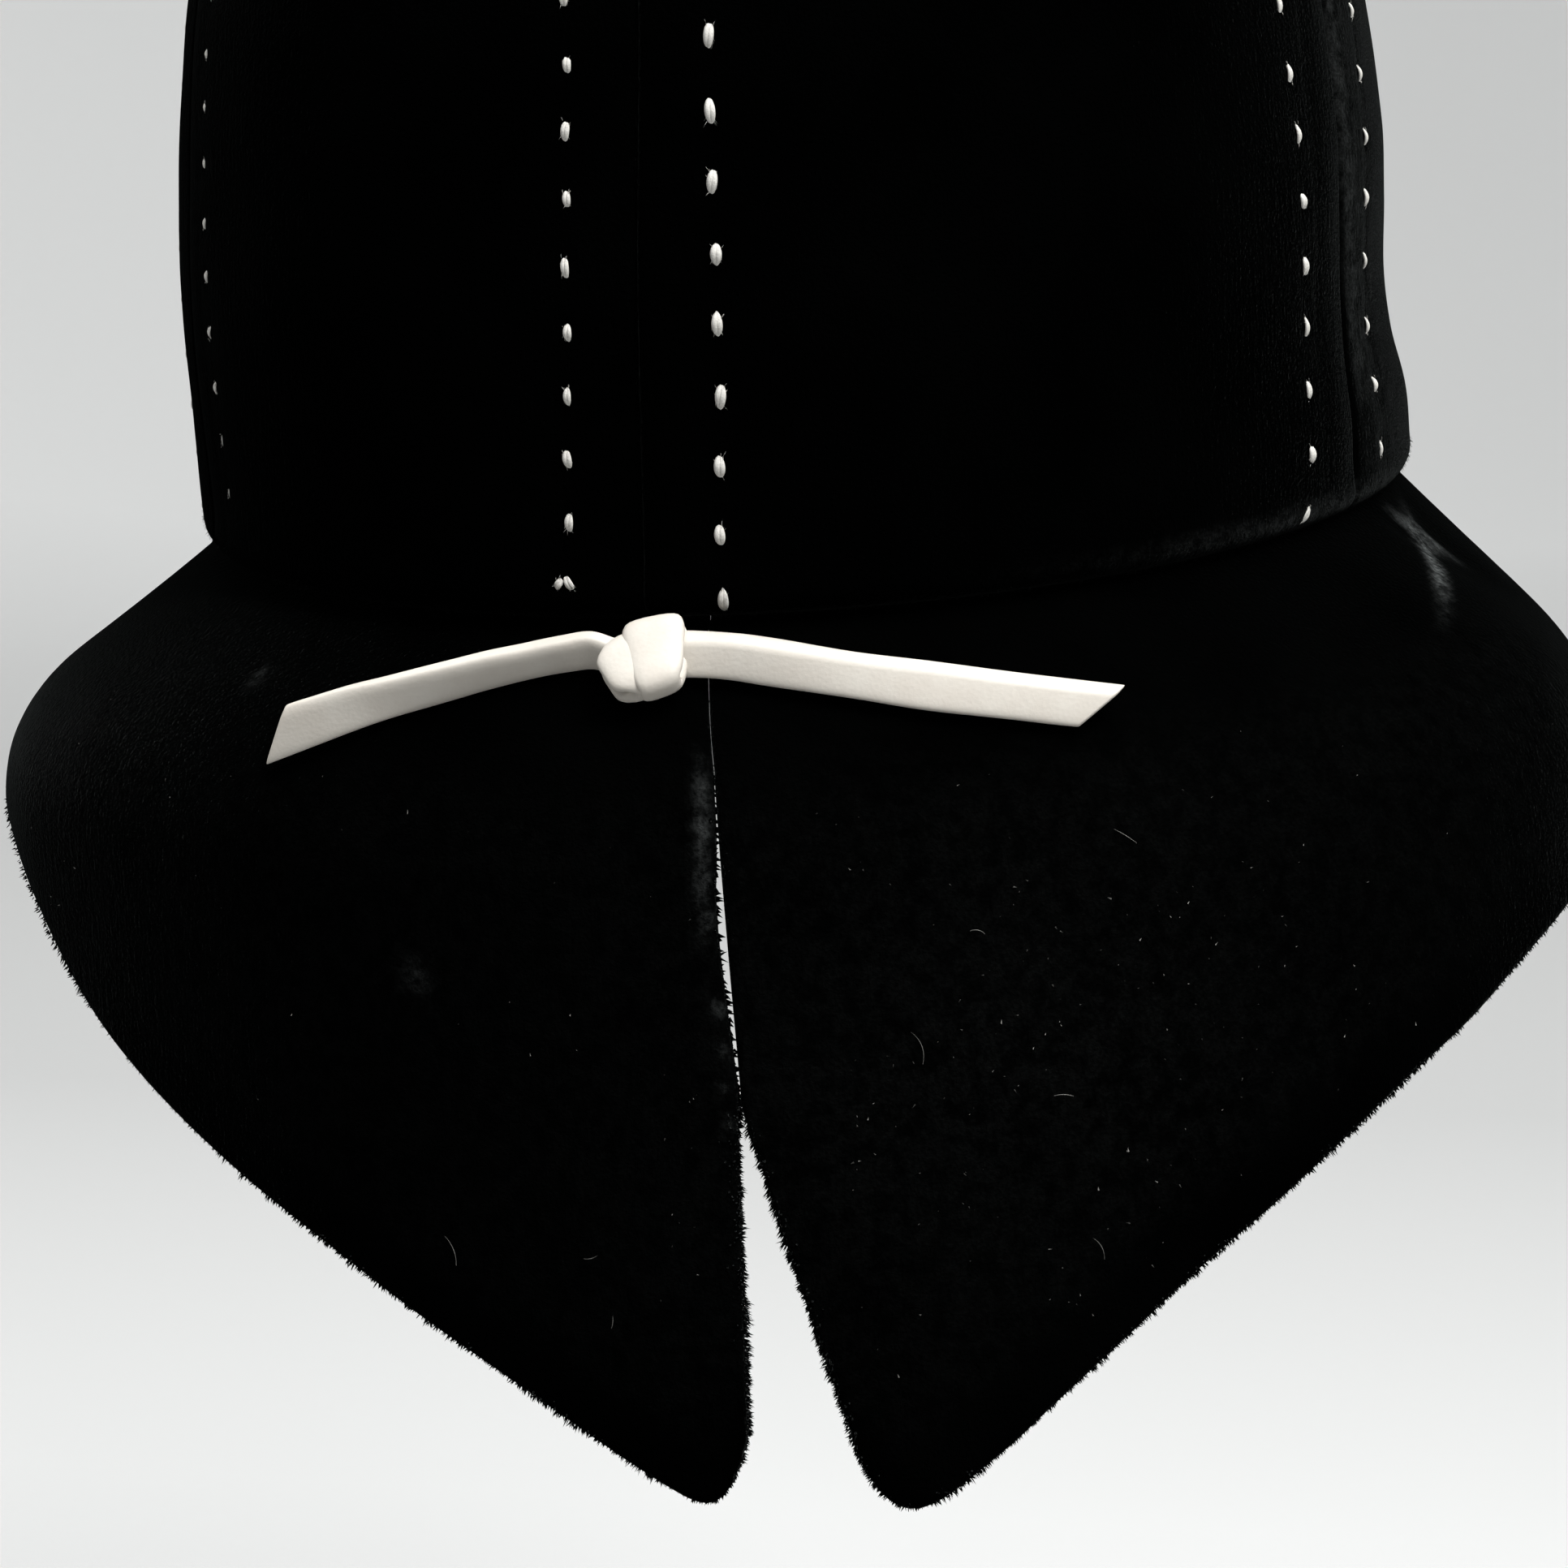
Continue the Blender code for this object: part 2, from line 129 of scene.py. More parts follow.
# Each seam has a row of stitches on both sides. The offsets are in degrees from the seam, at the hem and
# at the lean height, and the sway bows the row between them. Stitches below the height where a row fades
# are half buried in the pile.
StitchRow = namedtuple("StitchRow", "seam low_offset high_offset sway first pitch size fade")
STITCH_ROWS = (
    StitchRow(0, -6.3, -5.6, 0.4, 12.3, 7.72, 0.82, 0),
    StitchRow(0, 6.55, 5.65, 0.45, 2.5, 8.25, 1.0, 0),
    StitchRow(1, -8.6, -9.6, 0.5, 10.4, 8.15, 0.95, 0),
    StitchRow(1, 5.0, 7.3, 0.0, 7.6, 8.3, 0.85, 0),
    StitchRow(2, -7.5, -7.0, 0.0, 5.0, 8.2, 1.0, 0),
    StitchRow(2, 7.5, 7.0, 0.0, 4.0, 8.2, 1.0, 0),
    StitchRow(3, -6.4, -5.9, 0.0, 4.4, 8.0, 0.9, 0),
    StitchRow(3, 6.4, 5.9, 0.0, 5.2, 8.0, 1.0, 0),
    StitchRow(4, -7.5, -7.0, 0.0, 4.0, 7.6, 0.95, 0),
    StitchRow(4, 7.5, 7.0, 0.0, 5.6, 7.6, 1.0, 0),
    StitchRow(5, -10.5, -10.0, 0.0, 4.8, 7.4, 0.85, 0),
    StitchRow(5, 8.6, 7.7, 0.0, 11.1, 7.22, 0.6, 22),
)
LAST_STITCH = 121
BURIED_SIZE = 0.35

Stitch = namedtuple("Stitch", "seam bearing height length tilt scale")
# The row left of the back seam ends in two short stitches in a V, and the one left of the right seam in a
# slanted stitch.
END_STITCHES = (
    Stitch(0, -6.75, 4.9, 0.62, 38, 0.75),
    Stitch(0, -5.85, 5.0, 0.75, -30, 0.8),
    Stitch(1, 60.9, 2.7, 0.95, 32, 0.8),
)

# The brim starts level under the hem, bends down from its root angle and hangs at its hang angle.
BEND_SAMPLES = 32

BrimRow = namedtuple("BrimRow", "bearing root_angle hang_angle bend_start bend_end")
BRIM = (
    BrimRow(-180, 50, 58, 6, 25),
    BrimRow(-130, 50, 65, 11, 37),
    BrimRow(-95, 48, 80, 22, 51),
    BrimRow(-64, 32, 89, 25, 57),
    BrimRow(-35, 34, 86, 13, 46),
    BrimRow(0, 38, 81, 8, 42),
    BrimRow(35, 35, 80, 11, 47),
    BrimRow(65, 30, 84, 22, 56),
    BrimRow(95, 44.5, 88, 24, 50),
    BrimRow(130, 50, 70, 13, 38),
)

# Where the collar lies above the foot of the hem, as lengths along it.
CollarRow = namedtuple("CollarRow", "run inset height")
COLLAR = (
    CollarRow(-14.4, 5.3, 12),
    CollarRow(-2.7, 5.3, 0.45),
    CollarRow(-2.2, 5.15, 0.1),
    CollarRow(-1.7, 4.9, -0.05),
    CollarRow(0, 3.4, -0.05),
)

EdgeRow = namedtuple("EdgeRow", "bearing depth")
EDGE = (
    EdgeRow(13, 118.4),
    EdgeRow(25, 101.6),
    EdgeRow(35, 89.8),
    EdgeRow(45, 80.3),
    EdgeRow(55, 72.4),
    EdgeRow(65, 65.5),
    EdgeRow(80, 57),
    EdgeRow(95, 52),
    EdgeRow(130, 42),
    EdgeRow(180, 36),
    EdgeRow(230, 42),
    EdgeRow(265, 49),
    EdgeRow(290, 50.5),
    EdgeRow(300, 54.5),
    EdgeRow(305, 60),
    EdgeRow(310, 66),
    EdgeRow(320, 74.3),
    EdgeRow(330, 80.7),
    EdgeRow(340, 87.4),
    EdgeRow(350, 95.8),
    EdgeRow(366.7, 114.6),
)

Tip = namedtuple("Tip", "bearing spread drop")
RIGHT_TIP = Tip(13, 7.5, 12.2)
LEFT_TIP = Tip(366.7, -5, 11.8)
TIP_POWER = 4

SlitRow = namedtuple("SlitRow", "depth left right")
SLIT = (
    SlitRow(0, 5.0, 5.01),
    SlitRow(11, 5.5, 5.51),
    SlitRow(17.5, 5.85, 5.86),
    SlitRow(22, 6.13, 6.15),
    SlitRow(29, 6.3, 6.38),
    SlitRow(33, 6.28, 6.48),
    SlitRow(37, 6.15, 6.58),
    SlitRow(42, 6.22, 6.7),
    SlitRow(48, 6.47, 6.86),
    SlitRow(55, 6.82, 7.04),
    SlitRow(60, 7.0, 7.13),
    SlitRow(63, 7.0, 7.18),
    SlitRow(66, 6.86, 7.66),
    SlitRow(106, 6.7, 13.0),
)
SLIT_REACH = 70

# Creases in the felt of the brim, right under the hem on the wearer's right.
Crease = namedtuple("Crease", "bearing spread middle length slant sink")
CREASES = (
    Crease(80, 6, 13, 9, 0.0, 1.4),
    Crease(77.5, 1.6, 9, 7, 0.12, 0.5),
    Crease(83.5, 1.9, 11, 8, -0.14, 0.6),
)

# The leather strip stands on its lower edge along this line. Its width is in millimetres, and the tip is
# how far its face looks below the level, in degrees.
TieRow = namedtuple("TieRow", "bearing depth width tip")
TIE = (
    TieRow(-25.9, 23.1, 6.0, -2),
    TieRow(-21.2, 18.75, 5.5, 4),
    TieRow(-17.9, 16.0, 4.95, 18),
    TieRow(-14.5, 13.45, 4.9, 26),
    TieRow(-11.1, 11.0, 4.9, 29),
    TieRow(-7.6, 8.85, 4.6, 29),
    TieRow(-5.2, 7.8, 4.65, 28),
    TieRow(-3.4, 7.3, 4.7, 24),
    TieRow(-1.5, 8.0, 4.3, 18),
    TieRow(0.6, 8.9, 4.6, 12),
    TieRow(4.3, 8.15, 5.6, -6),
    TieRow(7.3, 8.65, 5.55, -8),
    TieRow(10.2, 9.8, 5.6, -8),
    TieRow(15.9, 12.35, 5.6, -13),
    TieRow(21.3, 15.0, 5.75, -16),
    TieRow(26.5, 17.75, 5.65, -14),
    TieRow(32.2, 21.05, 5.45, -11),
)

# Both tails start in the knot, at the same place of the tie table, and run to their end's row. The slant
# shears the cut end, and the roll is how far the upper edge rolls back, as a share of the usual roll.
Tail = namedtuple("Tail", "name start end slant roll")
TAILS = (
    Tail("tie_left_tail", 9, 0, 0.93, 0.2),
    Tail("tie_right_tail", 9, 16, 1.0, 1.0),
)

# The wraps of the knot are bands looped round the strip, centred out of the brim at a bearing and a depth.
# Lengths are in millimetres. The tilt leans a band's top to the left, the taper widens its top, the slope
# raises its lower fold towards the right, the corner narrows it where it folds over, and the power squares
# its loop.
Wrap = namedtuple("Wrap", "name bearing depth out width reach bulge tilt taper slope corner power")
WRAPS = (
    Wrap("tie_knot_under_band", 0.3, 10.35, 3.6, 7.3, 4.4, 2.3, 36, 0.0, 0.0, 0.6, 3.2),
    Wrap("tie_knot_front_band", 2.1, 9.2, 4.1, 7.0, 5.2, 2.2, 11, 0.2, 0.22, 0.16, 5),
)
KNOT_LEAN = 8

# The strip's section is a rounded box of this power, and a wrap's is a rounder one. The strip's upper edge
# rolls back by the roll's power, from the roll's start, which is a share of its half width.
STRIP_POWER = 5
WRAP_POWER = 2.8
ROLL_START = 0.5
ROLL_POWER = 1.3

# Pale places in the pile of the brim: round pale spots, and streaks of painted sheen beside the creases
# under the hem. A streak's spread is in degrees and its slant in degrees for each millimetre of depth.
Smudge = namedtuple("Smudge", "bearing depth radius strength")
SMUDGES = (
    Smudge(-33.5, 15, 1.6, 0.13),
    Smudge(-13.75, 48.75, 2.0, 0.11),
    Smudge(5.25, 24.5, 0.9, 0.12),
    Smudge(5.3, 29.5, 1.0, 0.16),
    Smudge(5.5, 34.5, 1.0, 0.16),
    Smudge(5.75, 40, 0.9, 0.18),
    Smudge(6.2, 50.5, 0.8, 0.18),
    Smudge(6.35, 55.5, 0.7, 0.14),
    Smudge(6.35, 60, 0.8, 0.16),
    Smudge(6.36, 64.5, 0.9, 0.16),
)

# Streaks of painted sheen beside the creases.
SheenStreak = namedtuple("SheenStreak", "bearing depth length spread slant strength")
SHEEN_STREAKS = (
    SheenStreak(80.6, 8.5, 3.6, 1.0, 0.1, 0.8),
    SheenStreak(74.8, 12.8, 5.0, 1.2, -1.05, 0.95),
)

# Fringes of hairs on the cut edges. Density, length and width are shares of the usual hair's, the fan is
# how far the hairs spread round the edge, in radians, the droop how far they lean down along it, and the
# taper the power by which they thin to their ends.
Fringe = namedtuple("Fringe", "name density length width fan droop taper")
EDGE_FUZZ = Fringe("brim_edge_fuzz", 1.2, 0.8, 1.15, 0.6, 0.0, 0.5)
SLIT_FUZZ_RIGHT = Fringe("slit_fuzz_right", 1.3, 1.1, 1.2, 0.6, 0.5, 0.5)
SLIT_FUZZ_LEFT = Fringe("slit_fuzz_left", 1.4, 0.95, 1.35, 0.6, 0.1, 0.5)
SLIT_TUFTS_LEFT = Fringe("slit_tufts_left", 0.15, 1.45, 2.9, 0.35, 0.3, 1.0)

# Fibres that have settled on the brim, by the middle of each one.
Fibre = namedtuple("Fibre", "bearing depth length heading curl")
LINT = (
    Fibre(31.75, 36, 3.4, 40, 0.1),
    Fibre(26.25, 65, 2.4, 10, 0.3),
    Fibre(18, 56.75, 4.4, 70, 0.6),
    Fibre(-11.5, 82.25, 4.0, 62, 0.5),
    Fibre(-2.25, 81, 1.9, 160, 0.4),
    Fibre(-1, 88.75, 1.6, 95, 0.2),
    Fibre(27.5, 84, 3.2, 65, 0.5),
    Fibre(22, 44, 2.0, 15, 0.6),
)


def flowing(knots, values, at):
    """Values between the knots on a smooth curve that doesn't overshoot them."""
    knots = np.asarray(knots, float)
    values = np.asarray(values, float)
    width = np.diff(knots)
    slope = np.diff(values) / width
    middle = (slope[:-1] * width[1:] + slope[1:] * width[:-1]) / (width[1:] + width[:-1])
    middle = np.where(slope[:-1] * slope[1:] <= 0, 0.0, middle)
    tangent = np.concatenate([slope[:1], middle, slope[-1:]])
    place = np.clip(np.searchsorted(knots, at, side="right") - 1, 0, len(knots) - 2)
    share = (np.asarray(at, float) - knots[place]) / width[place]
    start = (2 * share**3 - 3 * share**2 + 1) * values[place]
    leave = (share**3 - 2 * share**2 + share) * width[place] * tangent[place]
    end = (3 * share**2 - 2 * share**3) * values[place + 1]
    arrive = (share**3 - share**2) * width[place] * tangent[place + 1]
    return start + leave + end + arrive


def column(table, name):
    """One named column of a table."""
    return np.array([getattr(row, name) for row in table], float)


def around(table, name, bearing):
    """A column of a table that closes round the hat, at any bearing."""
    knots = column(table, "bearing")
    values = column(table, name)
    knots = np.concatenate([knots[-3:] - FULL_TURN, knots, knots[:3] + FULL_TURN])
    values = np.concatenate([values[-3:], values, values[:3]])
    half = FULL_TURN / 2
    return flowing(knots, values, np.mod(np.asarray(bearing, float) + half, FULL_TURN) - half)


def smooth(value, start, end):
    """0 before start, 1 after end, and 3s^2 - 2s^3 between them."""
    share = np.clip((value - start) / (end - start), 0, 1)
    return share * share * (3 - 2 * share)


def hill(value, spread):
    """A bell of height 1 round 0: e to the minus square of value over spread."""
    return np.exp(-((value / spread) ** 2))


def unit(vectors):
    """Vectors along the last axis, made one metre long."""
    length = np.linalg.norm(vectors, axis=-1, keepdims=True)
    return vectors / np.maximum(length, 1e-12)


def ripples(points, wavelength, seed, count=14):
    """Smooth noise between about -1 and 1: a mean of sine waves in seeded directions and phases."""
    draw = np.random.default_rng(seed)
    way = unit(draw.normal(size=(count, 3))) * (2 * math.pi / wavelength)
    way = way * draw.uniform(0.6, 1.6, (count, 1))
    phase = draw.uniform(0, 2 * math.pi, count)
    return np.sin(points @ way.T + phase).sum(-1) / math.sqrt(count)


def oval(bearing):
    """Points of the plan oval."""
    turn = np.radians(bearing)
    return np.stack([HALF_WIDTH * np.sin(turn), -HALF_LENGTH * np.cos(turn)], -1)


def outward(bearing):
    """Level directions that point straight out of the oval."""
    turn = np.radians(bearing)
    return unit(np.stack([np.sin(turn) / HALF_WIDTH, -np.cos(turn) / HALF_LENGTH], -1))


def bearing_away(bearing, middle):
    """How far a bearing is from a middle one, in degrees between -180 and 180."""
    return np.mod(np.asarray(bearing, float) - middle + 180, FULL_TURN) - 180


def dent_share(bearing):
    """How far a bearing takes part in the dent and flare on the wearer's right."""
    return hill(bearing_away(bearing, DENT_BEARING), DENT_SPREAD)


def hem_oval(bearing):
    """The crown's widest line, at the top of the hem."""
    scale = CROWN[0].scale + CROWN[0].right_push * dent_share(bearing)
    return oval(bearing) * np.asarray(scale)[..., None]


def seam_bearing(seam, height):
    """Where a seam runs at a height: its bearing, and its lean's share of the way up to the lean height."""
    return seam.bearing + seam.lean * np.minimum(1.0, height / LEAN_HEIGHT)


def wall_length():
    """Length of the crown's wall from the top of the hem to the tip, in metres."""
    return np.hypot(np.diff(column(CROWN, "height")) * MM, np.diff(column(CROWN, "scale")) * HALF_WIDTH).sum()


def wall_rows(run):
    """Heights, scales and pushes of the crown's wall at lengths above the top of the hem."""
    heights = column(CROWN, "height") * MM
    scales = column(CROWN, "scale")
    step = np.hypot(np.diff(heights), np.diff(scales) * HALF_WIDTH)
    along = np.concatenate([[0.0], np.cumsum(step)])
    at = np.clip(run, 0, along[-1])
    pushes = column(CROWN, "right_push")
    return flowing(along, heights, at), flowing(along, scales, at), flowing(along, pushes, at)


def hem_rows(run):
    """Insets and heights of the hem's round fold and its lip, at lengths below the top of the hem."""
    turn = np.clip(math.pi / 2 + run / HEM_RADIUS, 0, math.pi / 2)
    past = np.clip(-run - HEM_RADIUS * math.pi / 2, 0, LIP_DEPTH)
    return HEM_RADIUS * (1 - np.sin(turn)) + past, LIP_HEIGHT + HEM_RADIUS * (1 - np.cos(turn))


def crown_points(bearing, run):
    """Points of the crown's outer face. A run is a length along the wall, 0 at the top of the hem.

    Above the hem the plan oval is scaled by the crown table, with a push that fades round the dent. Below
    it the face follows a quarter circle under, and then a short level lip.
    """
    height, scale, push = wall_rows(run)
    inset, low = hem_rows(run)
    wall = oval(bearing) * (scale + push * dent_share(bearing))[..., None]
    plan = wall - outward(bearing) * np.where(run < 0, inset, 0.0)[..., None]
    return np.concatenate([plan, np.where(run < 0, low, height)[..., None]], -1)


def run_at_height(height):
    """The run along the wall where it reaches a height."""
    runs = np.linspace(0, wall_length(), 400)
    return np.interp(height, wall_rows(runs)[0], runs)


def edge_depth(bearing):
    """Depth of the brim's cut edge, with the two tips rounded off."""
    depth = flowing(column(EDGE, "bearing"), column(EDGE, "depth"), bearing)
    for tip in (RIGHT_TIP, LEFT_TIP):
        share = np.clip((bearing - tip.bearing) / tip.spread, 0, 1)
        depth = depth - tip.drop * (1 - share) ** TIP_POWER
    return depth


def brim_points(bearing, depth):
    """Points of the brim's outer face at bearings in degrees and depths in millimetres.

    The slope turns smoothly from the root angle to the hang angle between the two bend depths, and its
    cosine and sine are summed into reach and drop. Creases sink the face. Depths under 0 are the collar.
    """
    bearing = np.asarray(bearing, float)
    depth = np.asarray(depth, float)
    below = np.maximum(depth, 0.0)
    bends = (around(BRIM, name, bearing)[..., None] for name in BrimRow._fields[1:])
    root, hang, bend_start, bend_end = bends
    sample = (np.arange(BEND_SAMPLES) + 0.5) / BEND_SAMPLES
    slope = np.radians(root + (hang - root) * smooth(below[..., None] * sample, bend_start, bend_end))
    reach = below * np.cos(slope).mean(-1) * MM
    drop = below * np.sin(slope).mean(-1) * MM
    for crease in CREASES:
        line = crease.bearing + crease.slant * (below - crease.middle)
        fold = hill(bearing_away(bearing, line), crease.spread) * hill(below - crease.middle, crease.length)
        drop = drop + fold * crease.sink * MM
    run = column(COLLAR, "run")
    inset = np.interp(depth, run, column(COLLAR, "inset")) * MM
    height = np.interp(depth, run, column(COLLAR, "height")) * MM
    plan = hem_oval(bearing) + outward(bearing) * (reach - inset)[..., None]
    return np.concatenate([plan, (height - drop)[..., None]], -1)


def frames_on(surface, first, second, step):
    """Points of a surface of two parameters, with unit vectors along both and out of it."""
    along = surface(first + step, second) - surface(first - step, second)
    down = surface(first, second + step) - surface(first, second - step)
    along = unit(along)
    out = unit(np.cross(down, along))
    return surface(first, second), along, np.cross(along, out), out


def grid_normals(points):
    """Unit normals of a grid of points: down the rows crossed with along the columns."""
    return unit(np.cross(np.gradient(points, axis=0), np.gradient(points, axis=1)))


def grid_faces(index):
    """Quads between neighbouring rows and columns of a grid of vertex numbers."""
    return np.stack([index[:-1, :-1], index[1:, :-1], index[1:, 1:], index[:-1, 1:]], -1).reshape(-1, 4)


def loft_faces(rings, sides):
    """Quads of a tube whose rings of vertices follow each other, with the last side joined to the first."""
    index = np.arange(rings * sides).reshape(rings, sides)
    return grid_faces(np.concatenate([index, index[:, :1]], 1))


def tube_faces(count, rings, sides, first=0):
    """Walls and flat ends of a number of equal tubes, whose vertices follow each other from the first."""
    start = (np.arange(count) * rings * sides)[:, None, None] + first
    walls = (loft_faces(rings, sides)[None] + start).reshape(-1, 4)[:, ::-1]
    ends = np.stack([np.arange(sides), (rings - 1) * sides + np.arange(sides)[::-1]])
    return [walls, (ends[None] + start).reshape(-1, sides)]


def mesh_piece(name, points, faces, material, slot, replaced=(), **attributes):
    """Makes a finished piece: vertices, a list of face arrays, one material and any point attributes."""
    mesh = bpy.data.meshes.new(name)
    points = points.reshape(-1, 3)
    sizes = np.concatenate([np.full(len(block), block.shape[1]) for block in faces])
    corners = np.concatenate([block.ravel() for block in faces])
    mesh.vertices.add(len(points))
    mesh.vertices.foreach_set("co", points.astype(np.float32).ravel())
    mesh.loops.add(len(corners))
    mesh.loops.foreach_set("vertex_index", corners.astype(np.int32))
    mesh.polygons.add(len(sizes))
    mesh.polygons.foreach_set("loop_start", (np.cumsum(sizes) - sizes).astype(np.int32))
    mesh.update(calc_edges=True)
    mesh.shade_smooth()
    for label, values in attributes.items():
        layer = mesh.attributes.new(label, "FLOAT", "POINT")
        layer.data.foreach_set("value", values.astype(np.float32).ravel())
    if mesh.validate():
        raise RuntimeError(f"{name} has faces that Blender had to repair")
    mesh.materials.append(material)
    piece = bpy.data.objects.new(name, mesh)
    bpy.context.scene.collection.objects.link(piece)
    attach(piece, "root")
    if replaced:
        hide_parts(*replaced)


def felt_sheet(outer, thickness):
    """Points, faces and vertex order of a felt sheet with its edges rounded, under an outer face.

    Both faces lie half a thickness either side of a middle sheet. At a distance d inside an edge the half
    thickness h is cut to the square root of 1 - (1 - d / h)^2 of itself, as in a half circle. The two
    faces share their outermost points, so the sheet is closed.
    """
    normal = grid_normals(outer)
    half = thickness / 2
    middle = outer - normal * half
    share = np.ones(outer.shape[:2])
    for edge in (middle[:1], middle[-1:], middle[:, :1], middle[:, -1:]):
        inside = np.clip(np.linalg.norm(middle - edge, axis=-1) / half, 0, 1)
        share = np.minimum(share, np.sqrt(1 - (1 - inside) ** 2))
    lift = normal * (half * share)[..., None]
    rows, columns = outer.shape[:2]
    upper = np.arange(rows * columns).reshape(rows, columns)
    lower = upper.copy()
    lower[1:-1, 1:-1] = rows * columns + np.arange((rows - 2) * (columns - 2)).reshape(rows - 2, columns - 2)
    points = np.concatenate([(middle + lift).reshape(-1, 3), (middle - lift)[1:-1, 1:-1].reshape(-1, 3)])
    return points, [grid_faces(upper), grid_faces(lower)[:, ::-1]]


def on_both_faces(values):
    """Values of a grid, repeated for the inner face in a felt sheet's vertex order."""
    return np.concatenate([values.ravel(), values[1:-1, 1:-1].ravel()])


def hairs(roots, ways, lengths, widths, sags, steps=2, taper=0.5):
    """Points and faces of tapering three-sided hairs.

    A hair's middle line is root + way * length * t + sag * t^2 for t from 0 to 1, and its radius falls
    as 1 - t to the power of the taper, to a point at the end. Each hair has a triangle at its root.
    """
    count = len(roots)
    t = np.linspace(0, 1, steps + 1)[:-1]
    reach = lengths[:, None, None]
    line = roots[:, None] + ways[:, None] * reach * t[:, None] + sags[:, None] * (t**2)[:, None]
    tip = roots + ways * lengths[:, None] + sags
    helper = np.where(np.abs(ways[:, 2:]) < 0.9, [[0.0, 0.0, 1.0]], [[1.0, 0.0, 0.0]])
    side = unit(np.cross(ways, helper))
    other = np.cross(ways, side)
    turn = np.arange(3) * 2 * math.pi / 3
    radius = (widths[:, None] / 2 * (1 - t) ** taper)[..., None, None]
    spoke = side[:, None] * np.cos(turn)[:, None] + other[:, None] * np.sin(turn)[:, None]
    rings = line[:, :, None] + radius * spoke[:, None]
    points = np.concatenate([rings.reshape(count, -1, 3), tip[:, None]], 1)
    first = (np.arange(count) * (3 * steps + 1))[:, None, None]
    ring = np.arange(3 * steps).reshape(steps, 3)
    closed = np.concatenate([ring, ring[:, :1]], 1)
    walls = (grid_faces(closed)[None] + first).reshape(-1, 4)
    ends = np.stack([closed[-1, 1:], closed[-1, :-1], np.full(3, 3 * steps)], -1)
    caps = np.concatenate([ends, [[2, 1, 0]]])
    return points, [walls[:, ::-1], (caps[None] + first).reshape(-1, 3)]


class Value:
    """A socket of a node tree, for sums and products that add their own Math nodes."""

    def __init__(self, nodes, socket):
        self.nodes = nodes
        self.socket = socket

    def math(self, operation, *others):
        """This value and others through one Math node."""
        return self.nodes.add("ShaderNodeMath", {"operation": operation}, dict(enumerate((self, *others))))

    def __add__(self, other):
        return self.math("ADD", other)

    def __sub__(self, other):
        return self.math("SUBTRACT", other)

    def __mul__(self, other):
        return self.math("MULTIPLY", other)

    __radd__ = __add__
    __rmul__ = __mul__

    def above(self, start, end):
        """0 under start and 1 over end, in a straight line between them."""
        return ((self - start) * (1 / (end - start))).math("MAXIMUM", 0.0).math("MINIMUM", 1.0)


class Nodes:
    """A material's node tree."""

    def __init__(self, name):
        self.material = bpy.data.materials.new(name)
        self.material.use_nodes = True
        self.tree = self.material.node_tree
        self.tree.nodes.clear()

    def add(self, kind, settings=None, sockets=None, output=0):
        """Adds a node of a kind, sets its settings, then fills its sockets, and returns one output."""
        node = self.tree.nodes.new(kind)
        for name, value in (settings or {}).items():
            setattr(node, name, value)
        for name, value in (sockets or {}).items():
            if isinstance(value, Value):
                self.tree.links.new(value.socket, node.inputs[name])
            else:
                node.inputs[name].default_value = value
        return Value(self, node.outputs[output])

    def place(self, stretch=(1, 1, 1)):
        """Object coordinates, stretched along the axes."""
        spot = self.add("ShaderNodeTexCoord", output="Object")
        return self.add("ShaderNodeMapping", {"vector_type": "POINT"}, {"Vector": spot, "Scale": stretch})

    def noise(self, size, detail=2.0, roughness=0.5, stretch=(1, 1, 1)):
        """Noise from 0 to 1 whose grains are about a size across, in metres."""
        sockets = {"Vector": self.place(stretch), "Scale": 1 / size, "Detail": detail, "Roughness": roughness}
        return self.add("ShaderNodeTexNoise", {}, sockets)

    def attribute(self, name):
        """A point attribute of the mesh."""
        return self.add("ShaderNodeAttribute", {"attribute_name": name}, {}, "Fac")

    def blend(self, share, first, second):
        """The first colour where share is 0 and the second where it is 1."""
        settings = {"data_type": "RGBA", "clamp_factor": True}
        return self.add("ShaderNodeMix", settings, {"Factor": share, 6: first, 7: second}, 2)

    def bump(self, height, depth, strength=1.0):
        """A normal from a height between 0 and 1 that stands for a depth in metres."""
        return self.add("ShaderNodeBump", {}, {"Height": height, "Distance": depth, "Strength": strength})

    def finish(self, **sockets):
        """Ends the tree in a Principled shader with these sockets, and returns the material."""
        named = {name.replace("_", " "): value for name, value in sockets.items()}
        surface = self.add("ShaderNodeBsdfPrincipled", {}, named)
        end = self.tree.nodes.new("ShaderNodeOutputMaterial")
        self.tree.links.new(surface.socket, end.inputs["Surface"])
        return self.material


def shade(colour, factor=1.0):
    """A colour with an alpha of 1, made lighter or darker."""
    return (*(part * factor for part in colour), 1.0)


def pile_shine(felt, sheen=1.0):
    """Gloss and sheen of the pile, as sockets of a Principled shader."""
    return {
        "Specular_IOR_Level": felt.gloss,
        "Sheen_Weight": felt.sheen * sheen,
        "Sheen_Roughness": felt.sheen_roughness,
        "Sheen_Tint": shade(felt.sheen_colour),
    }


